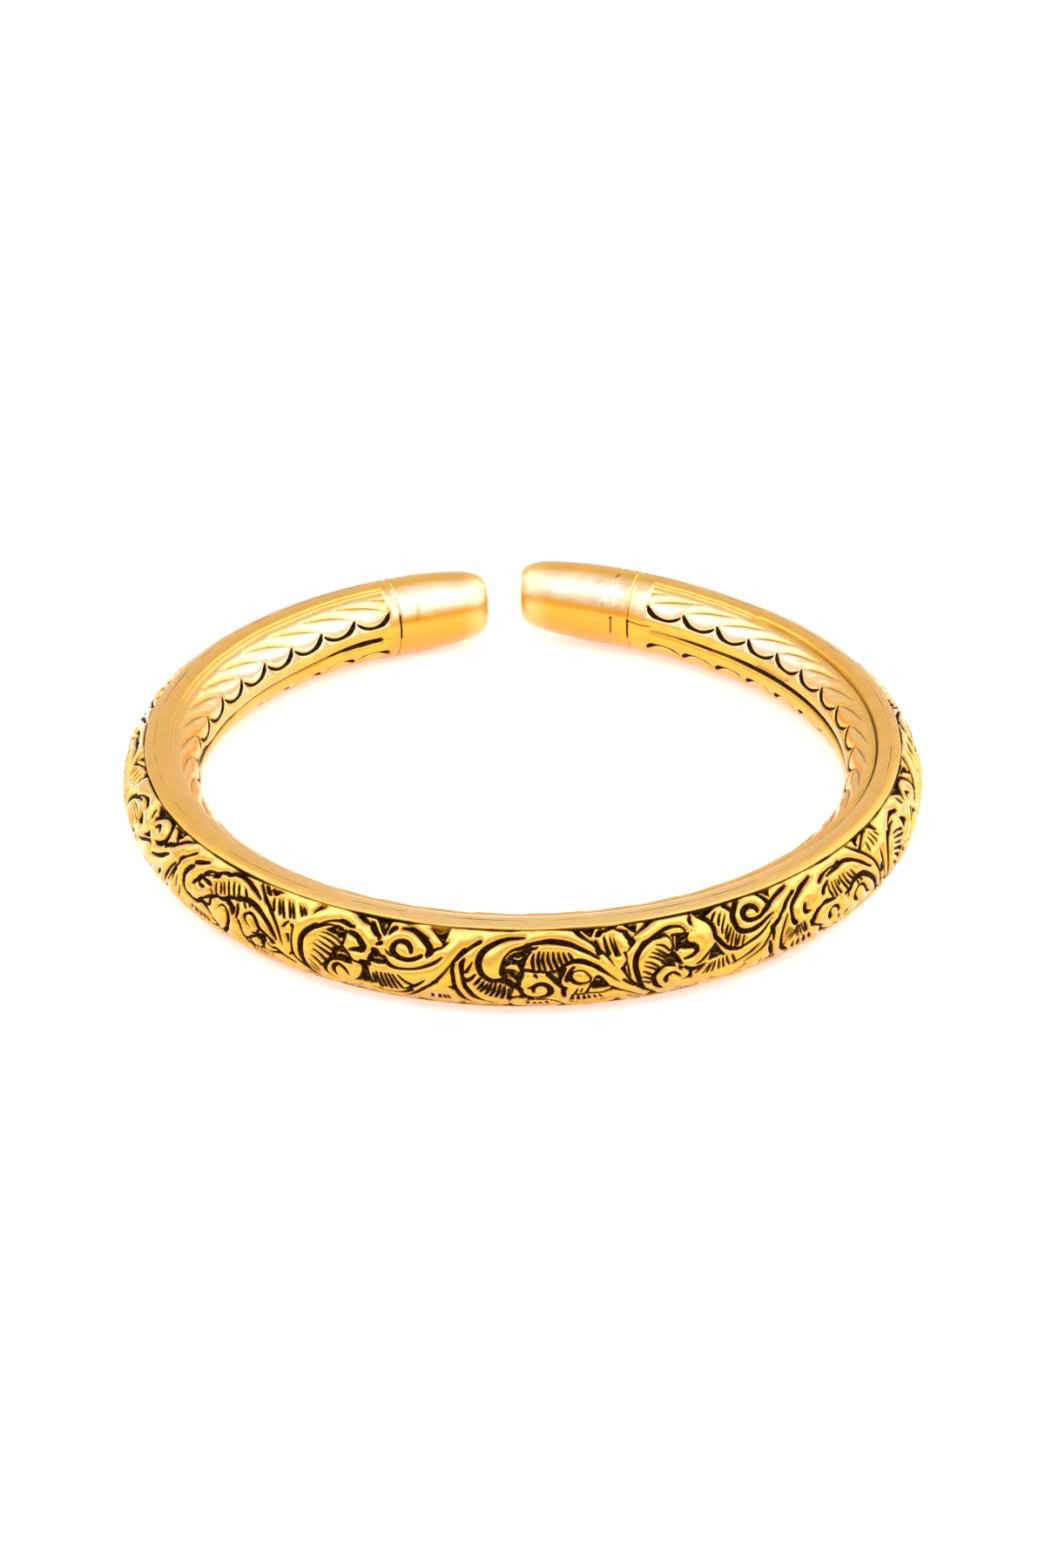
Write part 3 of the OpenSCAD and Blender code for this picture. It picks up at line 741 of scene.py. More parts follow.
# %% The left leaf
LEFT_LEAF = [
    ((-3100, 360, -3060, 390, -3020, 405, -2970, 405, -2930, 440, -2880, 445, -2840, 450, -2780, 435,
      -2730, 420, -2680, 395, -2620, 370, -2570, 340, -2530, 320),
      (26, 20, 26, 30, 34, 30, 28, 26, 30, 30, 24, 16, 10), FINE_TEETH),
    ((-3020, 170, -2980, 150, -2920, 160, -2870, 195, -2820, 210, -2760, 215, -2710, 225),
      (10, 24, 36, 30, 20, 26, 8)),
    ((-2780, 245, -2740, 245, -2700, 250, -2660, 260, -2610, 255, -2560, 240, -2510, 220, -2450, 185,
      -2400, 150, -2360, 115, -2320, 65, -2280, 10), (16, 24, 30, 30, 36, 34, 28, 26, 30, 32, 26, 12),
      RIGHT_TEETH),
    ((-2990, 60, -2950, 90, -2900, 95, -2870, 70, -2850, 30, -2850, -20, -2870, -80, -2890, -130,
      -2930, -180, -2990, -240), (6, 12, 14, 34, 38, 30, 36, 40, 36, 20)),
    ((-2660, 110, -2640, 135, -2610, 150, -2580, 150, -2540, 125, -2510, 90, -2480, 50, -2440, 30,
      -2400, 10, -2340, -20, -2290, -45), (20, 16, 22, 28, 36, 34, 26, 30, 28, 24, 12)),
    ((-2660, 110, -2650, 80, -2620, 45, -2580, 20), (24, 16, 10, 6)),
    ((-2720, 30, -2700, -10, -2690, -60, -2670, -110, -2650, -160, -2600, -220), (26, 28, 24, 40, 34, 16)),
    ((-2660, -120, -2610, -110, -2570, -75, -2520, -50), (20, 16, 24, 16)),
    ((-2620, -120, -2590, -140, -2570, -200), (10, 34, 10)),
    ((-2550, -25, -2510, -20, -2490, 20), (16, 20, 16)),
    ((-2390, -80, -2340, -110, -2290, -105, -2240, -130, -2190, -160, -2140, -180, -2090, -205),
      (14, 12, 32, 32, 32, 24, 14)),
    ((-2600, 460, -2550, 410, -2500, 360, -2460, 325, -2410, 290, -2380, 250, -2350, 220, -2320, 180,
      -2290, 140, -2260, 90, -2240, 40, -2210, -20), (16, 22, 24, 32, 30, 28, 28, 22, 24, 20, 16, 6)),
    ((-2560, 495, -2520, 450, -2480, 415, -2440, 400), (20, 28, 36, 14)),
    ((-2460, 450, -2420, 440, -2390, 425, -2370, 460, -2330, 480), (20, 24, 20, 24, 10), LEFT_TEETH),
    ((-2180, 220, -2210, 185, -2240, 145), (10, 16, 5)),
    ((-2750, 170, -2740, 120, -2750, 50), (20, 24, 14)),
]
LEFT_HATCHING = [
    ((8, 17, 14), [
        (-3080, 270, -3060, 210, -3035, 160), (-3030, 290, -3000, 240, -2980, 195),
        (-2995, 310, -2960, 250, -2935, 205), (-2950, 335, -2910, 265, -2880, 215),
        (-2890, 350, -2855, 280, -2820, 230), (-2825, 345, -2800, 300, -2775, 260),
        (-2740, 340, -2710, 305, -2680, 270), (-2690, 215, -2660, 180), (-2640, 235, -2620, 210)]),
    ((8, 18, 16), [
        (-2390, 380, -2370, 320, -2350, 270), (-2335, 390, -2310, 320, -2285, 255),
        (-2300, 390, -2270, 310, -2235, 240), (-2240, 405, -2200, 320, -2175, 260),
        (-2200, 400, -2160, 320, -2135, 270), (-2120, 405, -2090, 360, -2060, 320),
        (-2080, 400, -2030, 340)]),
    ((6, 15, 10), [
        (-3690, 150, -3720, 90, -3770, 10, -3800, -40), (-3620, 100, -3635, 40, -3650, -40),
        (-3560, 20, -3575, -30, -3600, -100), (-3130, 190, -3110, 165, -3090, 155)]),
]
print(len(LEFT_LEAF), "cuts and", len(LEFT_HATCHING), "groups of hatching")

# %% [markdown]
# ## The side that faces the ground
# The photograph does not show the lowest part of the carving. It is filled with cuts of the
# same kinds, at the same spacing as above, so that the bangle can be seen from any side.

# %% The underside
LEFT_UNDERSIDE = [
    ((-4320, -100, -4315, -150, -4310, -200), (10, 20, 14)),
    ((-4290, -95, -4280, -160, -4260, -235), (8, 20, 16)),
    ((-4250, -95, -4240, -160, -4215, -220), (8, 20, 16)),
    ((-4210, -95, -4195, -150, -4170, -220), (8, 20, 16)),
    ((-4175, -95, -4150, -150, -4120, -205), (8, 18, 14)),
    ((-3830, -95, -3890, -160, -3960, -240, -4020, -310), (10, 26, 28, 22)),
    ((-3630, -100, -3610, -160, -3560, -230, -3500, -300), (10, 30, 34, 28)),
    ((-3530, -100, -3490, -170, -3410, -250, -3310, -310), (10, 34, 38, 28)),
    ((-3390, -100, -3400, -130, -3420, -160), (10, 22, 14)),
    ((-3345, -100, -3350, -150, -3370, -200), (10, 24, 16)),
    ((-3300, -100, -3300, -160, -3315, -230), (10, 24, 18)),
    ((-3250, -100, -3250, -160, -3255, -230), (10, 24, 18)),
    ((-3205, -105, -3200, -170, -3195, -235), (10, 24, 18)),
    ((-3160, -110, -3150, -170, -3140, -230), (10, 22, 16)),
    ((-2800, -120, -2740, -190, -2690, -240), (10, 24, 14)),
]
RIGHT_UNDERSIDE = [
    ((2460, -95, 2440, -160, 2470, -230), (8, 20, 12)),
    ((2560, -130, 2570, -190, 2595, -250), (10, 22, 14)),
    ((2620, -130, 2635, -190, 2660, -250), (10, 24, 16)),
    ((2680, -120, 2700, -180, 2730, -240), (10, 24, 16)),
    ((2740, -120, 2765, -175, 2800, -225), (10, 22, 14)),
    ((2890, -150, 2930, -200, 3000, -235, 3080, -240), (12, 26, 22, 10), LEFT_TEETH),
    ((3140, -100, 3170, -160, 3150, -210, 3090, -200), (10, 24, 22, 8)),
    ((3720, -110, 3700, -170, 3660, -200), (10, 20, 10)),
]
UNSEEN_EDGE = [
    ((-1910, -340, -1840, -410, -1750, -480), (30, 34, 30)),
    ((-1880, -330, -1800, -390, -1700, -430, -1600, -430), (20, 30, 26, 10), LEFT_TEETH),
    ((-1660, -280, -1580, -310, -1500, -300, -1430, -260), (16, 26, 26, 12)),
    ((-1630, -340, -1660, -400), (10, 24)),
    ((-1580, -350, -1600, -410), (10, 24)),
    ((-1530, -350, -1540, -420), (10, 24)),
    ((-1480, -340, -1480, -420), (10, 24)),
    ((-1440, -320, -1410, -410), (10, 24)),
    ((-1330, -260, -1220, -300, -1080, -280, -970, -200), (20, 30, 30, 20), RIGHT_TEETH),
    ((-1000, -310, -1080, -370, -1180, -410, -1260, -420), (24, 32, 30, 10)),
    ((-920, -300, -780, -370, -640, -370, -530, -320), (16, 30, 30, 16), RIGHT_TEETH),
    ((-480, -300, -420, -360, -340, -420, -260, -480), (30, 34, 30, 20)),
    ((-290, -310, -200, -340, -120, -330), (34, 26, 14)),
    ((-300, -360, -220, -400, -140, -400), (10, 20, 10)),
    ((40, -290, 30, -370), (10, 24)),
    ((90, -300, 95, -380), (10, 26)),
    ((140, -300, 150, -380), (10, 26)),
    ((190, -290, 210, -370), (10, 24)),
    ((0, -270, 100, -250, 200, -250, 280, -290, 330, -350), (10, 20, 26, 30, 20)),
    ((400, -320, 520, -350, 660, -330, 760, -290, 860, -300), (16, 30, 30, 26, 10), RIGHT_TEETH),
    ((1020, -310, 1100, -380, 1180, -460), (24, 30, 20)),
    ((900, -280, 970, -350, 1040, -420), (6, 20, 26)),
]
print(len(LEFT_UNDERSIDE + RIGHT_UNDERSIDE), "cuts at the sides and", len(UNSEEN_EDGE), "for each motif")

# %% [markdown]
# ## All the cuts of the chart
# A cast pattern repeats, and so may we: the parts that the three motifs share are moved along
# by one or more motifs instead of being charted again. The order of cutting does not matter,
# because a cell of the plate keeps the deepest cut that touches it.

# %% All the cuts
CHART_UNITS = 100                   # in a mm
MOTIF = 30.15                       # mm on the chart that one motif takes


def in_mm(places):
    """Charted places as points in mm."""
    return np.reshape(places, (-1, 2)) / CHART_UNITS


def moved(rows, far):
    """Charted cuts with their points in mm, moved far mm along the hoop."""
    return [(in_mm(places) + (far, 0), *rest) for places, *rest in rows]


scroll_cuts = moved(
    GREAT_LEAF + LEAF_TIPS + LOW_VOLUTE + COMB + HIGH_VOLUTE + RISE + RISE_TICKS + CURLED_LEAF + LOW_CURL
    + LOW_BORDER + FORK + RIGHT_CURL + RIGHT_BANDS + HIGH_CURL + RIGHT_RISE + RIGHT_LEAF + LEFT_CURL
    + LEFT_VOLUTE + LEFT_LEAF + LEFT_UNDERSIDE + RIGHT_UNDERSIDE, 0)
for widths, strokes in RIGHT_HATCHING + LEFT_HATCHING:
    scroll_cuts += moved([(stroke, widths) for stroke in strokes], 0)
scroll_cuts += moved(GREAT_LEAF + LOW_VOLUTE, -MOTIF)
for far in (-MOTIF, 0, MOTIF):
    scroll_cuts += moved(UNSEEN_EDGE, far)
for far in (-MOTIF, MOTIF):
    scroll_cuts += moved(RISE_TICKS + LOW_BORDER, far)
print(len(scroll_cuts), "cuts in the whole chart")

# %% [markdown]
# ## Struck ground
# The dark patches between the forms are recesses. Each is a ring of corners, mostly three to
# seven, because the punch leaves small blunt shapes and the cuts beside it give them their
# curved outlines.

# %% The recesses
RECESSES = [
    (-1800, 250, -1740, 290, -1695, 330, -1630, 310, -1620, 280, -1610, 230, -1650, 205, -1700, 230),
    (-1700, 120, -1660, 125, -1620, 150, -1590, 130, -1540, 70, -1515, 20, -1515, -10, -1600, 5, -1690, 0,
     -1735, -15, -1710, 40),
    (-1350, 190, -1315, 195, -1285, 185, -1230, 120, -1190, 60, -1260, 45, -1375, 55, -1360, 110,
     -1340, 150),
    (-1355, -10, -1340, -90, -1330, -150, -1315, -200, -1330, -215, -1440, -205, -1520, -210, -1460, -165,
     -1435, -120, -1415, -50, -1425, 0, -1390, 10),
    (-2200, 95, -2150, 110, -2142, 20, -2160, 25, -2175, 80),
    (-2170, 205, -2120, 205, -2125, 160, -2150, 180),
    (-1360, 495, -1200, 495, -1205, 450, -1215, 390, -1235, 315, -1280, 360, -1320, 430),
    (-840, 475, -750, 495, -665, 495, -675, 390, -695, 310, -760, 380),
    (495, 510, 640, 510, 625, 450, 590, 385, 535, 445),
    (890, 510, 1025, 510, 1015, 450, 1005, 385, 960, 420, 910, 470),
    (625, 380, 640, 430, 690, 475, 702, 450, 690, 410, 660, 385),
    (-190, 180, -160, 230, -110, 275, -50, 295, 20, 300, 75, 280, 40, 240, 12, 190, 0, 140, -30, 120,
     -195, 120),
    (-195, 140, 0, 140, 0, 100, -5, 50, -30, 0, -35, -60, -30, -100, -60, -100, -90, -80, -130, -40,
     -190, 10, -195, 60),
    (-105, -190, -50, -170, 10, -175, 90, -200, 85, -260, 60, -270, 30, -230, -60, -225, -100, -245,
     -120, -300, -130, -250),
    (300, 115, 340, 135, 370, 115, 350, 60, 325, 10, 320, -50, 295, -10, 230, 60, 210, 85, 260, 95),
    (320, -75, 350, -60, 375, -80, 360, -140, 370, -220, 345, -235, 325, -160),
    (630, 40, 660, 20, 710, -50, 735, -100, 700, -125, 590, -120, 575, -90, 585, -30, 600, 20),
    (850, 225, 905, 225, 887, 195),
    (825, 70, 865, 85, 868, 40),
    (1210, 80, 1250, 125, 1300, 160, 1330, 150, 1360, 90, 1395, 15, 1375, 10, 1330, 45, 1270, 65),
    (1305, 315, 1400, 310, 1490, 300, 1455, 260, 1465, 210, 1500, 180, 1525, 160, 1500, 150, 1470, 175,
     1420, 180, 1370, 170, 1345, 145, 1330, 160, 1315, 220, 1320, 270),
    (1635, -10, 1640, 30, 1670, 80, 1700, 115, 1730, 80, 1760, 40, 1790, 5, 1720, 0),
    (1410, -15, 1445, -60, 1460, -100, 1440, -135, 1380, -160, 1500, -190, 1490, -130, 1480, -70, 1520, -70,
     1500, -55, 1450, -45),
    (-4400, -100, -4360, -100, -4340, -160, -4330, -210, -4450, -210, -4500, -200, -4440, -160),
    (-3120, -190, -3060, -175, -3000, -180, -2930, -210, -2950, -245, -3070, -230, -3120, -250),
    (-2700, -100, -2660, -95, -2640, -140, -2650, -220, -2675, -170),
    (3290, -200, 3330, -190, 3370, -160, 3380, -230, 3340, -250),
    (1340, 30, 1380, -10, 1400, -20, 1375, -50, 1355, -30),
    (1560, 500, 1640, 500, 1660, 450, 1680, 390, 1630, 400, 1580, 450),
    (2290, 510, 2390, 510, 2375, 460, 2360, 410, 2320, 440),
    (2770, 10, 2820, 60, 2860, 65, 2840, 30, 2810, -30, 2790, -80, 2750, -30),
    (3220, -150, 3260, -80, 3280, -120, 3310, -160, 3270, -190),
    (3240, 30, 3290, 65, 3280, 20),
    (3840, 450, 3920, 480, 4020, 360, 4030, 500, 3860, 510),
    (-2920, 150, -2870, 180, -2820, 165, -2770, 135, -2770, 90, -2800, 40, -2820, 70, -2840, 110,
     -2880, 130),
    (-2550, -35, -2500, -15, -2450, 5, -2410, -10, -2390, -50, -2420, -90, -2430, -140, -2450, -180,
     -2480, -120, -2470, -90, -2510, -70),
    (-2370, -20, -2300, -55, -2330, -75, -2360, -60),
    (-3910, 450, -3870, 400, -3820, 360, -3780, 410, -3780, 490, -3860, 480),
    (-4370, 475, -4320, 425, -4260, 420, -4210, 470, -4240, 495, -4300, 495),
    (-4420, 110, -4330, 180, -4300, 230, -4240, 175, -4310, 145),
    (-4600, 270, -4530, 240, -4480, 200, -4470, 160, -4510, 170, -4590, 140),
    (-1360, -330, -1300, -400, -1230, -495, -1430, -495, -1390, -420),
    (-1020, -420, -920, -370, -840, -430, -820, -495, -1060, -495),
    (-520, -360, -460, -410, -400, -495, -620, -495, -570, -420),
    (-120, -350, -50, -370, -10, -440, 10, -495, -190, -495),
    (350, -370, 410, -430, 460, -495, 240, -495, 300, -430),
    (820, -340, 880, -410, 920, -495, 700, -495, 760, -410),
]
print(len(RECESSES), "recesses")

# %% [markdown]
# ## Metal left standing
# Inside some recesses a bud or a sliver of metal still stands, lower than the forms around it.
# The last number of each row is its height above the ground, in mm.

# %% The ridges
RIDGES = [
    ((-1675, 30, -1630, 62, -1580, 62, -1550, 45), (10, 36, 40, 20), 0.22),
    ((-1320, 80, -1270, 95, -1240, 80), (20, 40, 20), 0.2),
    ((-1395, -25, -1400, -60, -1400, -100), (12, 10, 6), 0.3),
    ((-1695, 235, -1675, 225), (20, 20), 0.3),
    ((-1710, 275, -1660, 270), (30, 30), 0.2),
    ((-1320, 475, -1260, 460, -1250, 400), (30, 50, 20), 0.2),
    ((-790, 450, -740, 430, -705, 460), (30, 30, 30), 0.2),
    ((560, 490, 590, 450), (40, 30), 0.2),
    ((950, 490, 980, 450), (30, 20), 0.15),
    ((-170, 200, -135, 245, -90, 275, -30, 288), (14, 22, 20, 12), 0.34),
    ((-90, 225, -50, 210, -20, 230), (30, 34, 30), 0.26),
    ((-95, 10, -70, -50), (30, 20), 0.15),
    ((-150, 130, -110, 140, -70, 125, -40, 95), (40, 80, 70, 30), 0.4),
    ((-170, 35, -120, 20, -80, -20), (50, 70, 40), 0.17),
    ((235, 75, 275, 50, 295, 15), (30, 45, 20), 0.24),
    ((610, -20, 650, -30), (30, 30), 0.2),
    ((635, -40, 660, -70), (40, 30), 0.12),
    ((1230, 85, 1290, 95, 1340, 60), (30, 50, 20), 0.14),
    ((1345, 170, 1340, 220, 1350, 290), (14, 24, 24), 0.3),
    ((1410, 225, 1445, 245), (24, 20), 0.3),
    ((1670, 25, 1720, 30, 1750, 15), (30, 40, 20), 0.15),
    ((1590, 480, 1630, 450), (50, 30), 0.2),
    ((2310, 480, 2350, 460), (60, 40), 0.25),
    ((3900, 500, 3980, 460), (40, 30), 0.2),
    ((-3890, 445, -3790, 435), (26, 30), 0.25),
    ((-4330, 460, -4240, 455), (30, 30), 0.2),
]
print(len(RIDGES), "ridges")

# %% [markdown]
# ## Carving the scroll plate
# Now the tools go over the plate: first the punch, then the ridges and last the graver, as
# a chaser would block out the ground before the lines. The plate holds three motifs and wraps
# round, so that it can repeat about the whole hoop.

# %% The scroll plate
CAD_REPEAT, CAD_START = 45.4, 10.2  # degrees: the CAD's repeat, and where one of them starts
CHART_ZERO = 8.95                   # mm, the place on the chart that lies there
REPEAT_TURN, CHART_LENGTH = 3 * CAD_REPEAT, 3 * MOTIF
SCROLL_START = CAD_START - CHART_ZERO * REPEAT_TURN / CHART_LENGTH
SCROLL_CELLS = 1350
HATCH_SPREAD, HATCH_POINTS = 1.25, 4        # cuts of fewer points open up more under the graver
scroll = Plate((0, -HALF_PANEL_MM), (CHART_LENGTH, HALF_PANEL_MM), CHART_LENGTH / SCROLL_CELLS, wraps=True)
for corners in RECESSES:
    recess(scroll, in_mm(corners))
for places, widths, top in RIDGES:
    ridge(scroll, in_mm(places), np.array(widths) / CHART_UNITS, top)
for points, widths, *teeth in scroll_cuts:
    spread = HATCH_SPREAD if len(points) < HATCH_POINTS else 1.0
    groove(scroll, points, np.array(widths) / CHART_UNITS * spread, *teeth)
print("scroll plate", scroll.nx, "by", scroll.ny, "cells, deepest", round(scroll.depth.max(), 2), "mm")

# %% [markdown]
# ## One leaf of the inner rows
# The inner face has two rows of slanted leaves, one above and one below an engraved line. Every
# leaf has the same few cuts, so one is charted and repeated. Its places are in degrees: along
# the hoop from the leaf's start at the cap's side, and round from the middle line.

# %% The leaf's chart
LEAF_TURN, LEAF_ROUND = 7.55, 78.0
LEAF_CELLS = 64
FOLD_TURN = 1.35                   # both rows start at the caps and meet here, near the front
LEAF_FROM, LEAF_TO = -157.6, 152.9
ROW_TOP, ROW_SINK = 71.0, 0.14     # where the row ends, and its depth just inside that
# each row: places, widths in mm, share of the full depth, and how well it holds oxide
LEAF_CUTS = [
    # the soft fold at the far side of the leaf, and a fainter one in the leaf
    ([(6, 29), (6.9, 36.5), (7.8, 43), (9, 48), (11.3, 53), (13.5, 56), (16.5, 60.5)],
     (0.3, 0.7, 0.9, 0.8, 0.7, 0.5, 0.2), 0.22, 0.0),
    ([(3, 38), (4.8, 45), (7.5, 51.5), (10.5, 55.5)], (0.1, 0.4, 0.4, 0.1), 0.15, 0.0),
    # the thin line that runs back from the leaf's tip
    ([(0, 38), (1.5, 43.6), (3, 47.8), (4.8, 52), (7.5, 57), (10.2, 62.6)],
     (0.06, 0.14, 0.15, 0.12, 0.1, 0.04), 0.45, 0.9),
    # the scallop, and its thick wedge at the side of the cap
    ([(0, 36.6), (0.6, 30.5), (1.5, 25.2), (2.7, 22.4), (4.1, 21.8), (5.3, 24), (6.3, 27.9), (7, 32)],
     (0.2, 0.46, 0.44, 0.26, 0.2, 0.2, 0.22, 0.24, 0.16), 1.0, 1.0),
    # the row's upper border is two fine lines with a ridge between them
    ([(0, 71), (3.8, 71.2), (7.55, 71)], (0.12, 0.13, 0.12), 0.5, 0.55),
    ([(0, 75.5), (3.8, 75.3), (7.55, 75.5)], (0.1, 0.1, 0.1), 0.5, 0.4),
]
leaf = Plate((0, 0), (LEAF_TURN * INNER_MM, LEAF_ROUND * ROUND_MM), LEAF_TURN * INNER_MM / LEAF_CELLS,
             wraps=True, pillow=0.09, edge_wear=0.03)
for points, widths, shallow, stain in LEAF_CUTS:
    groove(leaf, [(a * INNER_MM, w * ROUND_MM) for a, w in points], widths, 0, shallow, stain)
heights = np.arange(leaf.ny)[:, None] * leaf.cell / ROUND_MM
leaf.near += 3 * np.clip((21 - heights) / 5, 0, 1)      # the strip below the scallops stays level
leaf.base = -ROW_SINK * np.interp(heights, (38, ROW_TOP - 2, ROW_TOP + 1.5), (0, 1, 0))
print("leaf plate", leaf.nx, "by", leaf.ny, "cells")

# %% [markdown]
# ## Meshes from arrays
# A mesh is only lists: its points, and for each face the numbers of its corners. Handing whole
# arrays to foreach_set is far quicker than adding faces one by one. Extra values, such as how
# dark a place is, ride along as attributes.

# %% Meshes from arrays
def mesh_of(name, points, groups):
    """A mesh of groups of faces, each group an array with one row of corners a face."""
    mesh = bpy.data.meshes.new(name)
    mesh.vertices.add(len(points))
    mesh.vertices.foreach_set("co", np.asarray(points, np.float32).ravel())
    corners = np.concatenate([g.ravel() for g in groups]).astype(np.int32)
    sizes = np.concatenate([np.full(len(g), g.shape[1]) for g in groups])
    mesh.loops.add(len(corners))
    mesh.loops.foreach_set("vertex_index", corners)
    mesh.polygons.add(len(sizes))
    starts = np.concatenate([[0], np.cumsum(sizes)[:-1]]).astype(np.int32)
    mesh.polygons.foreach_set("loop_start", starts)
    mesh.update(calc_edges=True)
    return mesh


def note(mesh, name, values, domain="POINT", kind="FLOAT"):
    """Stores one value for each point or face."""
    made = mesh.attributes.new(name, kind, domain)
    made.data.foreach_set("value", np.asarray(values).ravel())


def grid_faces(nx, ny, wrap=False):
    """Faces of a grid of points, ny + 1 in each column, or ny if it wraps round."""
    tall = ny if wrap else ny + 1
    i, j = np.meshgrid(np.arange(nx), np.arange(ny), indexing="ij")
    up = (j + 1) % tall
    corners = i * tall + j, (i + 1) * tall + j, (i + 1) * tall + up, i * tall + up
    return np.stack(corners, -1).reshape(-1, 4)


print("a grid of 3 by 2 has", len(grid_faces(3, 2)), "faces")

# %% [markdown]
# ## Stamps
# A stamp is a plate turned into a mesh, laid out from 0 to 1 both ways, with its height in mm and
# its oxide as attributes. Geometry Nodes can look values up on a mesh at any place, so a stamp
# takes the part that an image would have, without one.

# %% Stamps
scene = bpy.context.scene


def stamp(name, plate):
    """A plate as a mesh, its last column the same as its first."""
    rise, dark = (np.hstack([g, g[:, :1]]).T for g in (worn_rise(plate), old_oxide(plate)))
    x, y = np.meshgrid(np.linspace(0, 1, plate.nx + 1), np.linspace(0, 1, plate.ny), indexing="ij")
    mesh = mesh_of(name, np.stack([x, y, np.zeros_like(x)], -1).reshape(-1, 3),
                   [grid_faces(plate.nx, plate.ny - 1)])
    note(mesh, "rise", rise)
    note(mesh, "dark", dark)
    made = bpy.data.objects.new(name, mesh)
    scene.collection.objects.link(made)
    return made


scroll_stamp, leaf_stamp = stamp("scroll_stamp", scroll), stamp("leaf_stamp", leaf)
print("stamps of", len(scroll_stamp.data.vertices), "and", len(leaf_stamp.data.vertices), "points")

# %% [markdown]
# ## Strips
# A strip is the blank that a stamp is struck into: a closed mesh whose x is the turn, y the
# round and z its own rise. Its underside joins its two long edges by a straight chord. Its map
# cuts the long skin into a few rows side by side, so that a baked picture of it isn't a thread.

# %% Strips
MAP_SKIN, MAP_EDGE = 0.98, 0.005            # height of the map that the skin takes, and its margin
UNDER_LOW, UNDER_HIGH, UNDER_LONG = 0.985, 0.995, 0.9
WALL_PLACES, WALL_SIZE = ((0.93, 0.99), (0.96, 0.99)), 0.004


def skin_map(nx, ny, rows):
    """The skin of a piece on its map, in rows side by side."""
    column = np.arange(nx).repeat(ny)
    row = column * rows // nx
    u = (column - row * nx / rows)[:, None] + np.array([0, 1, 1, 0])
    v = np.tile(np.arange(ny), nx)[:, None] + np.array([0, 0, 1, 1])
    u = MAP_EDGE + (1 - 2 * MAP_EDGE) * u / (nx / rows)
    v = (row[:, None] + 0.01 + 0.98 * v / ny) / rows * MAP_SKIN
    return np.stack([u, v], -1).reshape(-1, 2)


def give_map(mesh, places):
    layer = mesh.uv_layers.new(name="OFBake")
    layer.data.foreach_set("uv", np.asarray(places, np.float32).ravel())


def circle(turns):
    """A small round patch of the map, for a wall at the end of a piece."""
    return np.stack([np.cos(turns), np.sin(turns)], -1) * WALL_SIZE


def strip(name, turns, rounds, plate=None, rows=3):
    """A closed blank over these turns and rounds."""
    nx, ny = len(turns) - 1, len(rounds) - 1
    t, r = np.meshgrid(turns, rounds, indexing="ij")
    own, dark = np.zeros_like(t), np.zeros_like(t)
    if plate:
        places = t * INNER_MM, (180 - abs(r)) * ROUND_MM
        own, dark = (plate.sample(grid, *places) for grid in (worn_rise(plate), old_oxide(plate)))
    skin = grid_faces(nx, ny)
    under = np.arange(nx)[:, None] * (ny + 1) + np.array([0, ny, 2 * ny + 1, ny + 1])
    walls = np.stack([np.arange(ny + 1), (nx * (ny + 1) + np.arange(ny + 1))[::-1]])
    mesh = mesh_of(name, np.stack([t, r, own], -1).reshape(-1, 3), [skin, under, walls])
    flat = np.arange(len(mesh.polygons)) >= len(skin)
    note(mesh, "sharp_face", flat, "FACE", "BOOLEAN")
    note(mesh, "own_dark", dark)
    note(mesh, "share", np.ones(t.size))
    note(mesh, "lifted", np.ones(t.size))
    under_u = (np.arange(nx)[:, None] + np.array([0, 0, 1, 1])) / nx * UNDER_LONG + MAP_EDGE
    under_v = np.tile([UNDER_LOW, UNDER_HIGH, UNDER_HIGH, UNDER_LOW], (nx, 1))
    disc = circle(np.linspace(-1, 1, ny + 1) * math.pi * 0.8)
    give_map(mesh, np.vstack([skin_map(nx, ny, rows), np.stack([under_u, under_v], -1).reshape(-1, 2),
                              disc + WALL_PLACES[0], disc[::-1] + WALL_PLACES[1]]))
    return mesh


test_strip = strip("test_strip", np.linspace(0, 10, 5), np.linspace(0, 20, 4))
print("a test strip of", len(test_strip.polygons), "faces")
bpy.data.meshes.remove(test_strip)

# %% [markdown]
# ## The bend
# A mould gives the real hoop its round, and a hand then springs its right end a little up and
# out. Our bend is one formula from turn, round and rise to a place in space. Inside the hoop
# the middle line isn't quite level on the real piece, so it may wander by a few degrees.

# %% The bend
WANDER_DIP, WANDER_RISE = (-150.0, -133.0, 7), (-120.0, 40.0, 13)    # from and to turn, degrees
WANDER_START = 8


def hoop_place(bench, turn, around, rise, share, lifted):
    """Where a turn, a round and a rise lie in space, in mm."""
    sprung = ((turn - SPRING_FROM) / (180 - SPRING_FROM)).at_least(0.0) ** SPRING_BEND
    a, b = turn * (math.pi / 180), around * (math.pi / 180)
    r = (share * (WALL / 2) + rise) * b.math("COSINE") + MIDDLE_R + sprung * SPRING_OUT
    z = (share * (HEIGHT / 2) + rise) * b.math("SINE") + HEIGHT / 2 + sprung * SPRING_UP
    z = z + (1 - lifted) * (HEIGHT / 2 * CAP_LIFT)
    return bench.node("ShaderNodeCombineXYZ", inputs=(r * a.math("SINE"), -r * a.math("COSINE"), z))


def between_edges(turn, soft):
    """1 on the carved stretch, and 0 on the caps."""
    return turn.between(LEFT_EDGE, LEFT_EDGE + soft) * (1 - turn.between(RIGHT_EDGE - soft, RIGHT_EDGE))


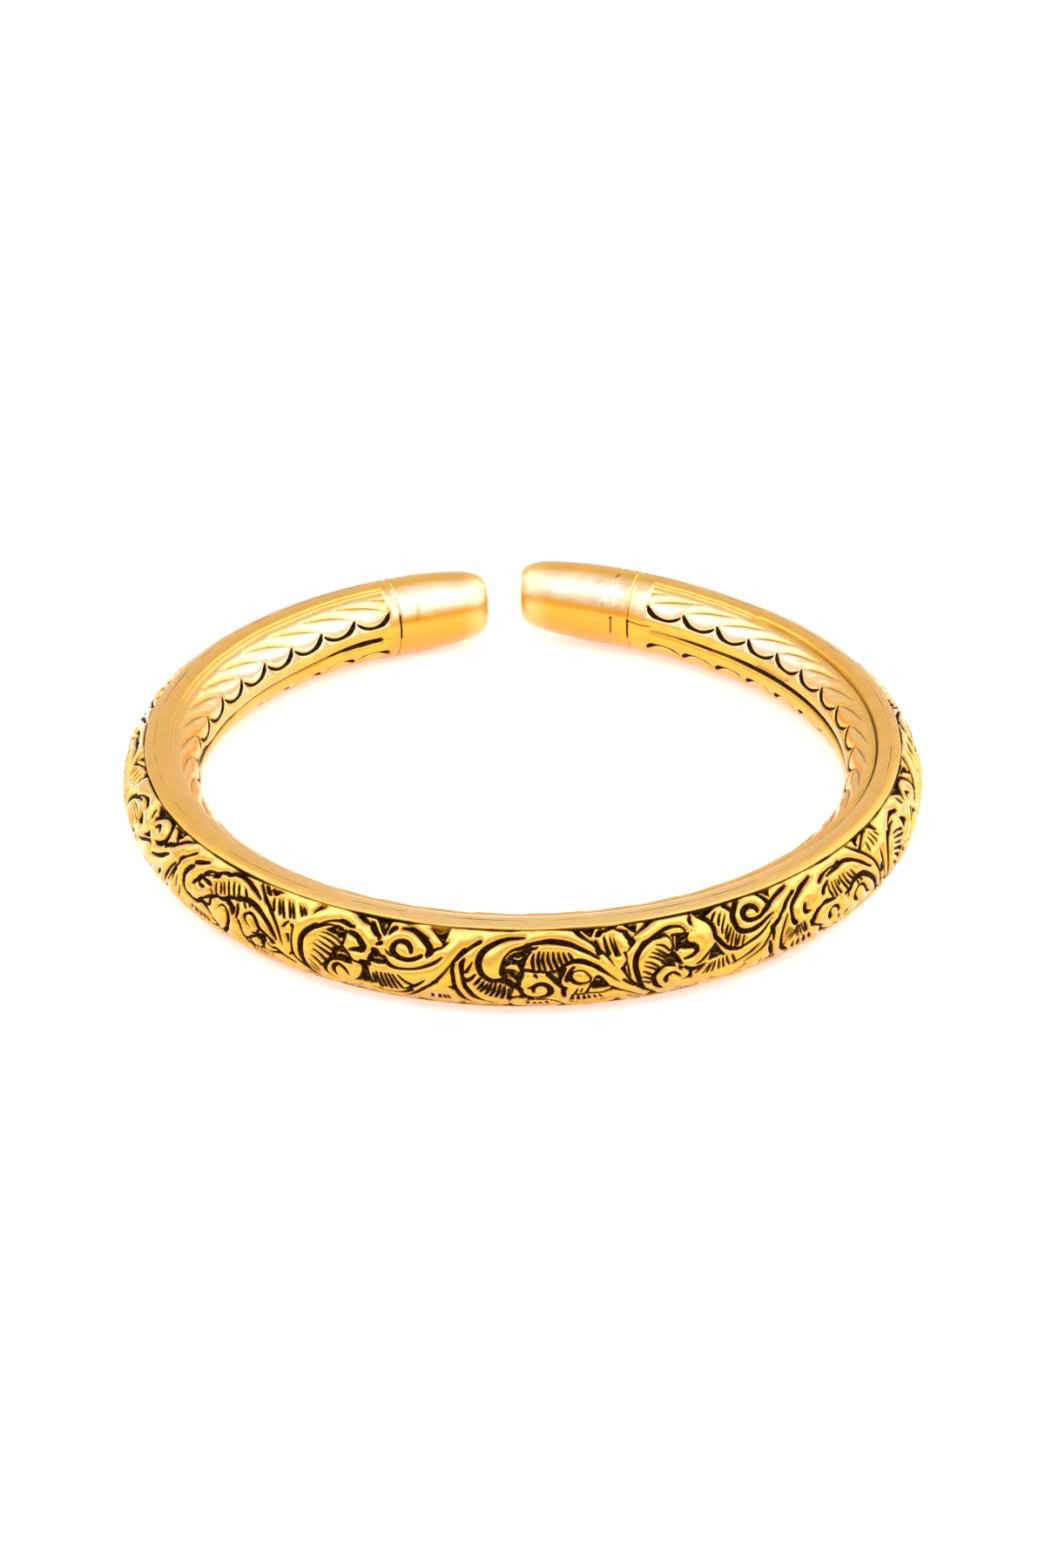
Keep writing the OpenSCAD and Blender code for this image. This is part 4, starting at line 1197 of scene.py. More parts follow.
def wandering(turn, around):
    """The round, with the inner face's middle line let stray."""
    (dip_from, dip_to, dip), (rise_from, rise_to, fall) = WANDER_DIP, WANDER_RISE
    stray = (turn.between(dip_from, dip_to) * dip - turn.between(rise_from, rise_to) * fall
             + WANDER_START)
    return around + stray * between_edges(turn, 3) * abs(around).between(75.0, 180.0)


print("the sprung end starts", 180 - SPRING_FROM, "degrees before the gap")

# %% [markdown]
# ## Reading the stamp
# The stamp is read once for each point of the strip, at a place that comes round again with
# every repeat. A slow noise shifts that place a little, because no hand strikes the same leaf
# twice in quite the same way.

# %% Reading the stamp
def read_stamp(bench, ask, own, shift, turn, around):
    """Rise and oxide of the stamp at each point, and none outside the carved stretch."""
    along = bench.node("GeometryNodeSwitch", {"input_type": "FLOAT"}, {
        "Switch": ask("Mirrored"), "False": turn - ask("Repeat Start"),
        "True": -abs(turn - ask("Repeat Start"))})
    up = bench.node("GeometryNodeSwitch", {"input_type": "FLOAT"}, {
        "Switch": ask("From Middle Line"), "False": around, "True": 180 - abs(around)})
    shift_x, shift_y = ((axis - 0.5) * ask("Hand Shift") for axis in shift)
    low, high = ask("Chart Low"), ask("Chart High")
    u = ((along + shift_x / OUTER_MM) / ask("Repeat Turn")) % 1.0
    v = ((up + shift_y / ROUND_MM - low) / (high - low)).at_least(0.0005).at_most(0.9995)
    place = bench.node("ShaderNodeCombineXYZ", inputs=(u, v))
    mesh = bench.node("GeometryNodeObjectInfo", {"transform_space": "ORIGINAL"},
                      {"Object": ask("Stamp")}, "Geometry")
    carved = turn.between(ask("Carved From"), ask("Carved From") + 0.8) \
        * (1 - turn.between(ask("Carved To") - 0.8, ask("Carved To")))
    inside = (1 - (up + shift_y / ROUND_MM).between(high - 1.5, high)) * carved

    def read(name):
        return bench.node("GeometryNodeSampleUVSurface", {"data_type": "FLOAT"}, {
            "Mesh": mesh, "Value": own(name),
            "Source UV Map": bench.node("GeometryNodeInputPosition"), "Sample UV": place})

    return read("rise") * inside, read("dark") * inside


print("one repeat of the scroll takes", round(REPEAT_TURN, 1), "degrees, and one leaf", LEAF_TURN)

# %% [markdown]
# ## Lines cut by rule
# The rings at the caps, a fine crease on each cap, the borders of the scroll panel, the line
# along the top and the open end of the seam are cut by rule and not from a chart. Each is a
# distance turned into a depth, and a slow noise lets it fade where it is worn. The solder at
# the caps leaves the metal a little lumpy.

# %% Lines cut by rule
# each ring: its turn, then from where to where round the section it is stained, and how much
RING_LINES = list(zip(RINGS, (148, 154, 171, 171), (172, 191, 202, 200), (0.3, 1.0, 0.9, 0.8)))
RING_HALF, RING_LIP = 0.4, 0.8     # degrees: half width of a ring, and where its raised lip is
CREASES, CREASE_HALF = (-172.4, 170.3), 0.2
SEAM_ROUND, SEAM_FROM, SEAM_TO = 173.0, 151.0, 166.5
RIM_LINE, RIM_HALF = 84.0, 1.3     # a fine line along the top of the plain edge
BORDER_HALF, BORDER_DEEP = (2.2, 1.2), (0.07, 0.1)          # each at its least, and what is added
SOLDER_TURN, SOLDER_ROUND = (156.5, 163.5, 1.5), (96.0, 168.0, 6.0)      # low, high, soft


def line(distance, half_width, deep):
    return (1 - distance.between(0.0, half_width)) * deep


def stretch(value, low, high, soft):
    return value.between(low - soft, low + soft) * (1 - value.between(high - soft, high + soft))


def rings_and_creases(bench, turn, whole, faint):
    """Depth in mm and oxide of the lines that run round the section."""
    engraved, stained = Term(bench, 0.0), Term(bench, 0.0)
    for at, low, high, deep in RING_LINES:
        ring = line(abs(turn - at), RING_HALF, 1.0)
        dark_part = stretch(whole, low, high, 3.0) * deep
        engraved = engraved + ring * (0.035 + 0.03 * faint + 0.06 * dark_part) \
            - line(abs(abs(turn - at) - RING_LIP), 0.35, 0.025)
        stained = stained + ring * (0.16 + 0.74 * dark_part)
    for at in CREASES:
        engraved = engraved + line(abs(turn - at), CREASE_HALF, 0.02)
        stained = stained + line(abs(turn - at), CREASE_HALF, 0.26) * faint
    return engraved, stained


def ruled_lines(bench, noise, turn, around):
    """Depth in mm, small dents in mm and oxide of all that is made by rule."""
    faint = noise(0.22, 2.0).between(0.36, 0.62)
    whole = around % 360.0                      # 90 on top, 180 at the middle of the inner face
    engraved, stained = rings_and_creases(bench, turn, whole, faint)
    carved = between_edges(turn, 0.8)
    seam = line(abs(whole - SEAM_ROUND), 0.9, 1.0) * stretch(turn, SEAM_FROM, SEAM_TO, 0.6)
    rim_line = line(abs(abs(around) - RIM_LINE), RIM_HALF, 1.0) * faint * carved
    border = line(abs(abs(around) - HALF_PANEL), BORDER_HALF[0] + BORDER_HALF[1] * faint,
                  BORDER_DEEP[0] + BORDER_DEEP[1] * faint) * carved
    engraved = engraved + border + seam * 0.07 + rim_line * 0.04
    solder = stretch(turn, *SOLDER_TURN) * stretch(whole, *SOLDER_ROUND)
    dents = (noise(0.16, 2.0) - 0.5) * 0.05 + (noise(0.9, 1.0) - 0.5) * 0.008 \
        + solder * (noise(1.6, 2.0) - 0.5) * 0.14
    stained = stained + seam * 0.8 + rim_line * 0.75 + (border / 0.16).at_most(1.0) * 0.9 \
        + solder * noise(2.2, 2.0).between(0.56, 0.68) * 0.34
    return engraved, dents, stained


print(len(RING_LINES), "rings and", len(CREASES), "creases are cut by rule")

# %% [markdown]
# ## The tree that lays a strip round the hoop
# On the real hoop this was the work of the mould and of the chaser's punches. Bending a finished
# mesh with a Curve modifier would be another way, but it can't cut lines by rule on the way. One
# tree with named inputs serves all the pieces, so they meet along their edges without a step.

# %% The tree's inputs
TREE_INPUTS = {
    "Stamp": "Object", "Repeat Start": "Float", "Repeat Turn": "Float", "Mirrored": "Bool",
    "From Middle Line": "Bool", "Chart Low": "Float", "Chart High": "Float", "Carved From": "Float",
    "Carved To": "Float", "Hand Shift": "Float", "Seed": "Float", "Gold": "Material",
}


def empty_tree(name):
    """A tree that takes a strip and its settings and gives a piece."""
    tree = bpy.data.node_groups.new(name, "GeometryNodeTree")
    tree.is_modifier = True
    tree.interface.new_socket("Strip", in_out="INPUT", socket_type="NodeSocketGeometry")
    tree.interface.new_socket("Piece", in_out="OUTPUT", socket_type="NodeSocketGeometry")
    for title, kind in TREE_INPUTS.items():
        tree.interface.new_socket(title, in_out="INPUT", socket_type="NodeSocket" + kind)
    return tree


def apart(bench, vector):
    """The three numbers of a vector."""
    node = bench.node("ShaderNodeSeparateXYZ", inputs=[vector]).value.node
    return [Term(bench, socket) for socket in node.outputs]


def stored(bench, geometry, name, kind, value):
    """The same geometry, with a value kept at each point under this name."""
    return bench.node("GeometryNodeStoreNamedAttribute", {"data_type": kind, "domain": "POINT"},
                      {"Geometry": geometry, "Name": name, "Value": value})


print("the tree takes", len(TREE_INPUTS), "settings")

# %% [markdown]
# ## Putting the tree together
# The stamp and the ruled lines lower the strip, the dents make it a little uneven, and then the
# bend moves every point. The tree also keeps two attributes for the gold: how dark each point
# is, and where it lies on the flat strip, so that the grain isn't stretched by the bend.

# %% The hoop's tree
SKIN_SINK = 0.03                   # mm that the whole skin lies inside the CAD's


def hoop_tree():
    tree = empty_tree("Lay round the hoop")
    bench = Bench(tree)
    given = tree.nodes.new("NodeGroupInput").outputs

    def ask(name):
        return Term(bench, given[name])

    def own(name):
        return bench.node("GeometryNodeInputNamedAttribute", {"data_type": "FLOAT"}, {"Name": name})

    turn, around, rise = apart(bench, bench.node("GeometryNodeInputPosition"))
    strayed, share, lifted = wandering(turn, around), own("share"), own("lifted")
    plain = hoop_place(bench, turn, strayed, 0.0, share, lifted)

    def noise(scale, detail=1.0, out=0):
        return bench.node("ShaderNodeTexNoise", {"noise_dimensions": "4D"},
                          {"Vector": plain, "W": ask("Seed"), "Scale": scale, "Detail": detail}, out)

    shift = apart(bench, noise(0.3, out=1))[:2]
    struck, struck_dark = read_stamp(bench, ask, own, shift, turn, around)
    engraved, dents, stained = ruled_lines(bench, noise, turn, around)
    rise = rise + struck - engraved + dents - SKIN_SINK
    dark = own("own_dark").at_least(struck_dark).at_least(stained)
    flat = bench.node("ShaderNodeCombineXYZ", inputs=(turn * OUTER_MM, around * ROUND_MM, rise))
    marked = stored(bench, given["Strip"], "patina", "FLOAT", dark)
    marked = stored(bench, marked, "place", "FLOAT_VECTOR", flat)
    metres = bench.node("ShaderNodeVectorMath", {"operation": "SCALE"}, {
        "Vector": hoop_place(bench, turn, strayed, rise, share, lifted), "Scale": 0.001})
    bent = bench.node("GeometryNodeSetPosition", inputs={"Geometry": marked, "Position": metres})
    real = bench.node("GeometryNodeRealizeInstances", inputs={"Geometry": bent})
    dressed = bench.node("GeometryNodeSetMaterial", inputs={"Geometry": real, "Material": ask("Gold")})
    tree.links.new(dressed.value, tree.nodes.new("NodeGroupOutput").inputs["Piece"])
    return tree


hoop_rule = hoop_tree()
print("the hoop's tree has", len(hoop_rule.nodes), "nodes")

# %% [markdown]
# ## What the gold looks at
# Wear follows the shape: hands reach the rim and the caps, but not the bottom of a cut. An image
# of wear could be painted on, but values read from the place itself stay right on every piece.
# So the gold reads its oxide, its flat place and which way it faces, for the painted shade and
# highlights, and three noises add what no rule gives.

# %% What the gold looks at
CLOUD, GRAIN, STREAK = (0.35, 3.0), (7.0, 2.0), (1.0, 3.0)      # scale for each mm, and detail
STREAK_SHAPE = (0.6, 9.0, 1.0)     # rubbing marks are long along the bar and thin across it


class Skin:
    """Values at a place of the skin: its noises, where it faces and which part it is on."""

    def __init__(self, bench):
        place = bench.node("ShaderNodeAttribute", {"attribute_name": "place"}, out="Vector")
        along = bench.node("ShaderNodeVectorMath", {"operation": "MULTIPLY"}, (place, STREAK_SHAPE))
        self.patina = bench.node("ShaderNodeAttribute", {"attribute_name": "patina"}, out="Fac")
        self.cloud, self.grain, self.rubbed = (
            bench.node("ShaderNodeTexNoise", inputs={"Vector": vector, "Scale": scale, "Detail": detail})
            for vector, (scale, detail) in ((place, CLOUD), (place, GRAIN), (along, STREAK)))
        self.upward = apart(bench, bench.node("ShaderNodeNewGeometry", out="Normal"))[2]
        turned, around, self.rise = apart(bench, place)
        self.turned = abs(turned) / OUTER_MM                        # 0 in front, 180 at the gap
        self.around = 180 - abs(abs(around) / ROUND_MM - 180)       # 90 on the rims, 180 inside
        self.capped = self.turned.between(154.0, 160.0)
        self.rim = self.around.between(62.0, 70.0) * (1 - self.around.between(102.0, 112.0))
        self.inside = self.around.between(95.0, 115.0)


print("the gold has noises of", CLOUD[0], GRAIN[0], "and", STREAK[0], "waves for each mm")

# %% [markdown]
# ## The gilding
# Gilding is orange where it is whole and pale where it is rubbed on its high spots. Shade is
# painted in as a deeper colour lower down and on the underside, where less light reaches, and
# highlight is painted in as a paler colour on top, on the leaves near the caps and along the
# front of the rim. The high bands of the caps and of those leaves are painted almost white, as
# highlights. Each is one colour laid over the last by a mask.

# %% The gilding
GILT_DULL, GILT_CLEAR = (0.80, 0.375, 0.004, 1), (0.88, 0.44, 0.012, 1)
# the colours below are painted shade, paler gilt for rubbed wear and painted highlight, and painted highlight
GILT_PAINTED_SHADE, GILT_WEAR_AND_HIGHLIGHT, GILT_PAINTED_HIGHLIGHT = (0.62, 0.26, 0.004, 1), (0.94, 0.62, 0.25, 1), (1.0, 0.85, 0.68, 1)
GILT_GRAIN, GILT_RUBBED, GILT_TIP = (0.74, 0.33, 0.004, 1), (0.72, 0.33, 0.01, 1), (0.96, 0.66, 0.24, 1)


def mixed(share, low, high):
    """A colour between two others."""
    pair = share.bench.node("ShaderNodeMix", {"data_type": "RGBA"}, out=2)
    sockets = pair.value.node.inputs
    for index, value in ((0, share), (6, low), (7, high)):
        share.bench.plug(sockets[index], value)
    return pair


def leaf_highlight_mask(skin):
    """Where a highlight is painted: the upper side of the leaves near the caps, which catches the light."""
    return skin.inside * skin.turned.between(92.0, 128.0) * (1 - skin.turned.between(150.0, 160.0)) \
        * (1 - skin.around.between(158.0, 168.0)) * skin.upward.between(-0.1, 0.2)


def wear_and_highlight_share(skin, leaf_highlight):
    """Worn high spots, and painted highlight on top, on the lit leaves and on the front of the rim."""
    wear_and_highlight = (skin.upward + (skin.cloud - 0.5) * 0.4 + leaf_highlight * 0.65).between(0.25, 0.8)
    wear_and_highlight = wear_and_highlight * (0.5 + 0.4 * leaf_highlight + 0.45 * skin.rim * (1 - skin.turned.between(25.0, 70.0)))
    return wear_and_highlight * (1 - 0.5 * skin.rim * skin.turned.between(15.0, 50.0)) \
        * (0.3 + 0.7 * skin.rise.between(-0.4, -0.1))


def highlight_band_share(skin, leaf_highlight):
    """The painted highlight bands on the caps and the lit leaves, broken up by the cloud and the grain."""
    band = skin.around.between(104.0, 122.0) * (1 - skin.around.between(146.0, 166.0)) \
        * skin.rise.between(-0.3, -0.12) * leaf_highlight.at_least(skin.capped * skin.upward.between(0.0, 0.3))
    return band * (0.5 + 0.5 * (0.4 * skin.cloud + 0.6 * skin.grain).between(0.42, 0.56))


def gilding(skin):
    leaf_highlight = leaf_highlight_mask(skin)
    shaded = 0.55 + 0.15 * skin.capped - 0.4 * skin.inside * (1 - skin.capped)
    gilt = mixed(skin.cloud.between(0.3, 0.7), GILT_DULL, GILT_CLEAR)
    # painted shade: a deeper colour where the skin faces down, as strong as shaded gives
    gilt = mixed((1 - skin.upward.between(-0.3, 0.55)) * shaded, gilt, GILT_PAINTED_SHADE)
    # partly wear, partly painted highlight: paler on high spots, and where the skin faces up, on the lit
    # leaves and the front rim
    gilt = mixed(wear_and_highlight_share(skin, leaf_highlight), gilt, GILT_WEAR_AND_HIGHLIGHT)
    # painted highlight: bands near white on the caps and on the leaves near them
    gilt = mixed(highlight_band_share(skin, leaf_highlight), gilt, GILT_PAINTED_HIGHLIGHT)
    gilt = mixed((skin.grain - 0.4).at_least(0.0) * 0.9, gilt, GILT_GRAIN)
    gilt = mixed((skin.rubbed - 0.42).at_least(0.0) * skin.rim * 1.6, gilt, GILT_RUBBED)
    return mixed(skin.turned.between(171.0, 176.0) * 0.5, gilt, GILT_TIP)


print("gilding runs from", GILT_PAINTED_SHADE[:3], "to", GILT_PAINTED_HIGHLIGHT[:3])

# %% [markdown]
# ## The old gold
# The oxide in the cuts is rough and nearly black, and browner where the grain stands up. On the
# smooth metal a thin clear coat adds the white highlights, as a lacquer would. The grain and the
# rubbing marks are a bump, because they are finer than the mesh, and all else is geometry.

# %% The gold
OXIDE_BLACK, OXIDE_BROWN = (0.012, 0.005, 0.0004, 1), (0.10, 0.042, 0.003, 1)


def gold_material():
    made = bpy.data.materials.new("old_gold")
    made.use_nodes = True
    made.node_tree.nodes.clear()
    bench = Bench(made.node_tree)
    skin = Skin(bench)
    stained = (skin.patina + (skin.grain - 0.5) * 0.25).between(0.1, 0.75)
    oxide = mixed(skin.grain.between(0.45, 0.7), OXIDE_BLACK, OXIDE_BROWN)
    rough = 0.2 + 0.12 * skin.cloud + 0.06 * skin.turned.between(162.0, 165.0) \
        + 0.12 * (skin.rubbed - 0.5) + stained * 0.35
    height = (skin.rubbed - 0.5) * 0.002 \
        + (skin.grain - 0.5) * (0.0015 + 0.02 * stained + 0.005 * skin.capped)
    bump = bench.node("ShaderNodeBump", inputs={"Strength": 0.8, "Distance": 0.001, "Height": height})
    coat = (1 - stained) * (1 - 0.5 * skin.rim) \
        * (1 - 0.6 * skin.inside * (1 - skin.turned.between(105.0, 125.0)))
    body = bench.node("ShaderNodeBsdfPrincipled", inputs={
        "Base Color": mixed(stained, gilding(skin), oxide), "Metallic": 1.0, "Roughness": rough,
        "Normal": bump, "Coat Weight": coat, "Coat Roughness": 0.2, "Coat IOR": 1.5})
    bench.node("ShaderNodeOutputMaterial", inputs={"Surface": body})
    return made


gold = gold_material()
print("gold has", len(gold.node_tree.nodes), "nodes")

# %% [markdown]
# ## Laying a piece
# The hoop is one casting, but a mesh of all its skin would be too heavy for one piece. It is
# made in seven, and each is a strip with its own settings for the tree. The finished shape is
# kept as a plain mesh, and the strip and its modifier go.

# %% Laying a piece
PLAIN_INPUTS = {"Stamp": leaf_stamp, "Repeat Start": 0.0, "Repeat Turn": 10.0, "Mirrored": False,
                "From Middle Line": False, "Chart Low": 0.0, "Chart High": 1.0, "Carved From": 500.0,
                "Carved To": 600.0, "Hand Shift": 0.0, "Seed": 3.0, "Gold": gold}
pieces = []


def lay(name, mesh, **settings):
    """Lays a strip round the hoop and keeps the result as a plain mesh."""
    blank = bpy.data.objects.new(name + "_blank", mesh)
    scene.collection.objects.link(blank)
    fold = blank.modifiers.new("hoop", "NODES")
    fold.node_group = hoop_rule
    wanted = {**PLAIN_INPUTS, **settings}
    for item in hoop_rule.interface.items_tree:
        if item.in_out == "INPUT" and item.name in wanted:
            fold[item.identifier] = wanted[item.name]
    blank.update_tag()
    shape = blank.evaluated_get(bpy.context.evaluated_depsgraph_get())
    final = bpy.data.meshes.new_from_object(shape)
    for extra in ("share", "lifted", "own_dark"):
        final.attributes.remove(final.attributes[extra])
    final.name = name
    piece = bpy.data.objects.new(name, final)
    scene.collection.objects.link(piece)
    bpy.data.objects.remove(blank)
    pieces.append(piece)
    print(name, len(final.vertices), "points,", sum(len(p.vertices) - 2 for p in final.polygons), "triangles")


print("a plain piece is carved nowhere, from", PLAIN_INPUTS["Carved From"], "degrees on")

# %% [markdown]
# ## The scroll panel
# The real scrollwork goes all round the outer face. It is laid in three lengths, because one
# mesh fine enough for its cuts would be too heavy. They meet where the same rule gives both
# edges the same points, so the joints don't show.

# %% The scroll panel
SCROLL_INPUTS = {"Stamp": scroll_stamp, "Repeat Start": SCROLL_START, "Repeat Turn": REPEAT_TURN,
                 "Chart Low": -HALF_PANEL, "Chart High": HALF_PANEL, "Carved From": LEFT_EDGE,
                 "Carved To": RIGHT_EDGE, "Hand Shift": 0.35}
SCROLL_POINTS, PANEL_POINTS = 781, 112      # along each length, and across the panel
scroll_ends = np.linspace(LEFT_EDGE, RIGHT_EDGE, 4)
panel_rounds = np.linspace(-HALF_PANEL, HALF_PANEL, PANEL_POINTS)
for side, low, high in zip(("left", "front", "right"), scroll_ends, scroll_ends[1:]):
    blank = strip("scroll_" + side, np.linspace(low, high, SCROLL_POINTS), panel_rounds)
    lay("scroll_" + side, blank, **SCROLL_INPUTS)
print("the scroll's lengths end at", scroll_ends.round(1))

# %% [markdown]
# ## Cuts made once on the inner face
# An engraved line runs between the two leaf rows. It starts thick at the left cap, thins out and
# becomes a double line on the right, where a few slanted ticks cross it. They don't repeat, so
# they are charted by turn and by degrees from the middle line and cut into a plate of their own.

# %% Cuts of the inner face
MIDDLE_CUTS = [
    ([(-154.9, 0), (-152, 0.2), (-147, 0), (-143, 0)], (0.4, 0.5, 0.34, 0.14)),
    ([(-143.5, 0), (-130, 0.3), (-120, 0), (-112, 0.3)], (0.12, 0.08, 0.1, 0.08)),
    ([(-118, 0.2), (-112, 0.5), (-104, 0.3), (-97, 0.4)], (0.06, 0.28, 0.32, 0.16)),
    ([(-99, 0), (-60, 0), (-20, 0), (20, 0), (62, 0)], (0.16, 0.12, 0.1, 0.1, 0.12)),
    ([(58, 0.5), (75, 1.2), (97, 1.4), (112, 1.5), (127, 1.5), (139, 1), (143, 0.6)],
     (0.1, 0.2, 0.26, 0.3, 0.26, 0.18, 0.06)),
    ([(58, 2.6), (75, 3), (97, 2.8), (118, 2.4)], (0.04, 0.1, 0.1, 0.04)),
    ([(138, 0.6), (146, 0.3), (151, 0)], (0.16, 0.1, 0.02)),
]
DARK_REFLECTION_CUTS = [                         # shallow wide cuts where the hoop bends away, stained dark as a painted reflection
    ([(-104, 2), (-99, 6), (-95, 10), (-90, 14)], (0.2, 0.6, 0.9, 0.4), 0.4),
    ([(-101, 9), (-97, 13)], (0.2, 0.5), 0.4),
]
RIM_CUTS = [
    ([(38, 76.5), (60, 74.5), (95, 74.5), (118, 75.2), (131, 76.5)], (0.04, 0.12, 0.14, 0.1, 0.03)),
    ([(-30, 76.2), (-8, 76.8), (16, 76.4), (44, 76.8)], (0.03, 0.09, 0.09, 0.03)),
]
TICKS = [([(117.4 + 0.75 * k, 15 - 0.2 * k), (118.8 + 0.75 * k, 5)], (0.02, 0.08)) for k in range(11)]
RIM_CELL = 0.1                     # mm


def rim_plate(cuts):
    """The inner face and plain edge as a plate, from the middle line to the panel's border."""
    low, high = (LEFT_EDGE * INNER_MM, 0), (RIGHT_EDGE * INNER_MM, (180 - HALF_PANEL) * ROUND_MM)
    plate = Plate(low, high, RIM_CELL)
    for points, widths, *shallow in cuts:
        groove(plate, [(t * INNER_MM, w * ROUND_MM) for t, w in points], widths, 0, *shallow)
    return plate


print(len(MIDDLE_CUTS) + len(TICKS), "cuts at the middle line and", len(RIM_CUTS), "on the rim")

# %% [markdown]
# ## The plain edges and the leaf rows
# Above and below the panel the real hoop has a smooth rounded edge that runs on into the leaves.
# Each half is one piece, up to the middle line inside. Its rows of points lie closest where the
# cuts are finest, so the mesh stays light where the metal is plain.

# %% The rims
LEAF_INPUTS = {"Repeat Start": FOLD_TURN, "Repeat Turn": LEAF_TURN, "Mirrored": True,
               "From Middle Line": True, "Chart Low": 0.0, "Chart High": LEAF_ROUND,
               "Carved From": LEAF_FROM, "Carved To": LEAF_TO, "Hand Shift": 0.22}
# from the panel's border over the rim's fine line and the row's border to the middle line
ROW_SPANS = [(HALF_PANEL, 71, 4), (71, RIM_LINE - 1.6, 3), (RIM_LINE - 1.6, RIM_LINE + 1.6, 4),
             (RIM_LINE + 1.6, 101, 5), (101, 108, 6), (108, 138, 16), (138, 163, 23), (163, 180, 12)]
INNER_POINTS = 1331
inner_turns = np.linspace(LEFT_EDGE, RIGHT_EDGE, INNER_POINTS)
rim_rounds = np.concatenate([np.linspace(low, high, count + 1)[:-1] for low, high, count in ROW_SPANS]
                            + [[180.0]])
for name, rounds, cuts in (("rim_upper", rim_rounds, MIDDLE_CUTS + TICKS + DARK_REFLECTION_CUTS + RIM_CUTS),
                           ("rim_lower", -rim_rounds[::-1], MIDDLE_CUTS)):
    lay(name, strip(name, inner_turns, rounds, rim_plate(cuts), rows=6), **LEAF_INPUTS)
print("each rim has", len(rim_rounds), "rows of points")

# %% [markdown]
# ## The end caps
# Each cap is a plain polished tube that narrows to a rounded rim and a small flat end face. A
# lathe could turn it, but the same rule as for the strips keeps it in line with the hoop. Its
# share of the full section is charted against the distance from the end face, in mm.

# %% The caps' shape
CAP_SHAPE = [(0, 0.36), (0.05, 0.46), (0.15, 0.55), (0.35, 0.64), (0.7, 0.72), (1.2, 0.79),
             (1.9, 0.845), (2.8, 0.89), (4, 0.93), (5.6, 0.965), (7.2, 0.99), (8.6, 1), (14, 1)]
ROUNDED_TOP = 0.88                 # below this share the cap's top comes down as its bottom goes up
CAP_STEPS, CAP_ROUNDS, FACE_STEPS = 84, 168, 7
TIP_CROWDING = 1.5                 # above 1 the steps lie closer towards the end face


def cap_rows(end_turn, way, length):
    """The turn of each row of a cap, its share of the section and the share that lifts it."""
    curve = through(CAP_SHAPE, 0.02)[0]
    distance = length / arc(1) * (1 - np.linspace(0, 1, CAP_STEPS)) ** TIP_CROWDING
    share = np.interp(distance, curve[:, 0], curve[:, 1])
    face = np.linspace(share[-1], 0, FACE_STEPS)[1:-1]
    turns = end_turn - way * np.array([arc(d) for d in distance] + [0.0] * len(face))
    lifts = np.maximum(np.concatenate([share, np.full(len(face), share[-1])]), ROUNDED_TOP)
    return turns, np.concatenate([share, face]), lifts


print("the end face is", CAP_SHAPE[0][1], "of the section")

# %% [markdown]
# ## Closing the caps
# A cap's rows are joined into a tube. The last row is closed by a fan of triangles for the end
# face, and the first by a flat wall, which lies hidden in the second ring's groove.

# %% The caps
def cap(name, ring_turn, end_turn):
    """A closed cap from the bottom of its second ring to the end face."""
    way = 1 if end_turn > ring_turn else -1
    turns, shares, lifts = cap_rows(end_turn, way, abs(end_turn - ring_turn))
    rounds = np.linspace(0, 360, CAP_ROUNDS + 1)[:-1] * way
    t, r = np.meshgrid(turns, rounds, indexing="ij")
    points = np.vstack([np.stack([t, r, 0 * t], -1).reshape(-1, 3), [[end_turn, 0, 0]]])
    steps = len(turns) - 1
    last = steps * CAP_ROUNDS + np.arange(CAP_ROUNDS)
    fan = np.stack([last, np.full(CAP_ROUNDS, len(points) - 1), np.roll(last, -1)], -1)
    wall = np.arange(CAP_ROUNDS)[None, :]
    mesh = mesh_of(name, points, [grid_faces(steps, CAP_ROUNDS, wrap=True), fan, wall])
    flat = np.arange(len(mesh.polygons)) == len(mesh.polygons) - 1
    note(mesh, "sharp_face", flat, "FACE", "BOOLEAN")
    note(mesh, "own_dark", np.zeros(len(points)))
    note(mesh, "share", np.append(np.repeat(shares, CAP_ROUNDS), 0.0))
    note(mesh, "lifted", np.append(np.repeat(lifts, CAP_ROUNDS), lifts[-1]))
    disc = circle(np.arange(CAP_ROUNDS) * 2 * math.pi / CAP_ROUNDS)
    fan_map = np.stack([disc, np.zeros_like(disc), np.roll(disc, -1, 0)], 1).reshape(-1, 2)
    give_map(mesh, np.vstack([skin_map(steps, CAP_ROUNDS, 1), fan_map + WALL_PLACES[0],
                              disc + WALL_PLACES[1]]))
    return mesh


lay("cap_left", cap("cap_left", LEFT_EDGE, -180 + END_TURN))
lay("cap_right", cap("cap_right", RIGHT_EDGE, 180 - END_TURN))
print("the gap between the caps is", GAP, "mm")

# %% [markdown]
# ## The pieces join the frame
# All pieces ride on the root body, because the hoop is rigid, and together they take the place
# of the CAD's plain hoop. The stamps have done their work.

# %% Into the frame
for made in (scroll_stamp, leaf_stamp):
    bpy.data.objects.remove(made)
for piece in pieces:
    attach(piece, "root")
    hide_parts("kada_hoop")
print(len(pieces), "pieces ride on the hoop")

# %% [markdown]
# ## Floor
# The photograph's ground is pure white with hardly a shadow. A brighter world would do it too,
# but it would also wash out the gold. A floor that glows a little, like a light table, stays
# white by itself.

# %% Floor
FLOOR_HALF = 1.5                   # metres
PAPER_WHITE, PAPER_ROUGH, PAPER_GLOW = 0.95, 0.9, 0.42


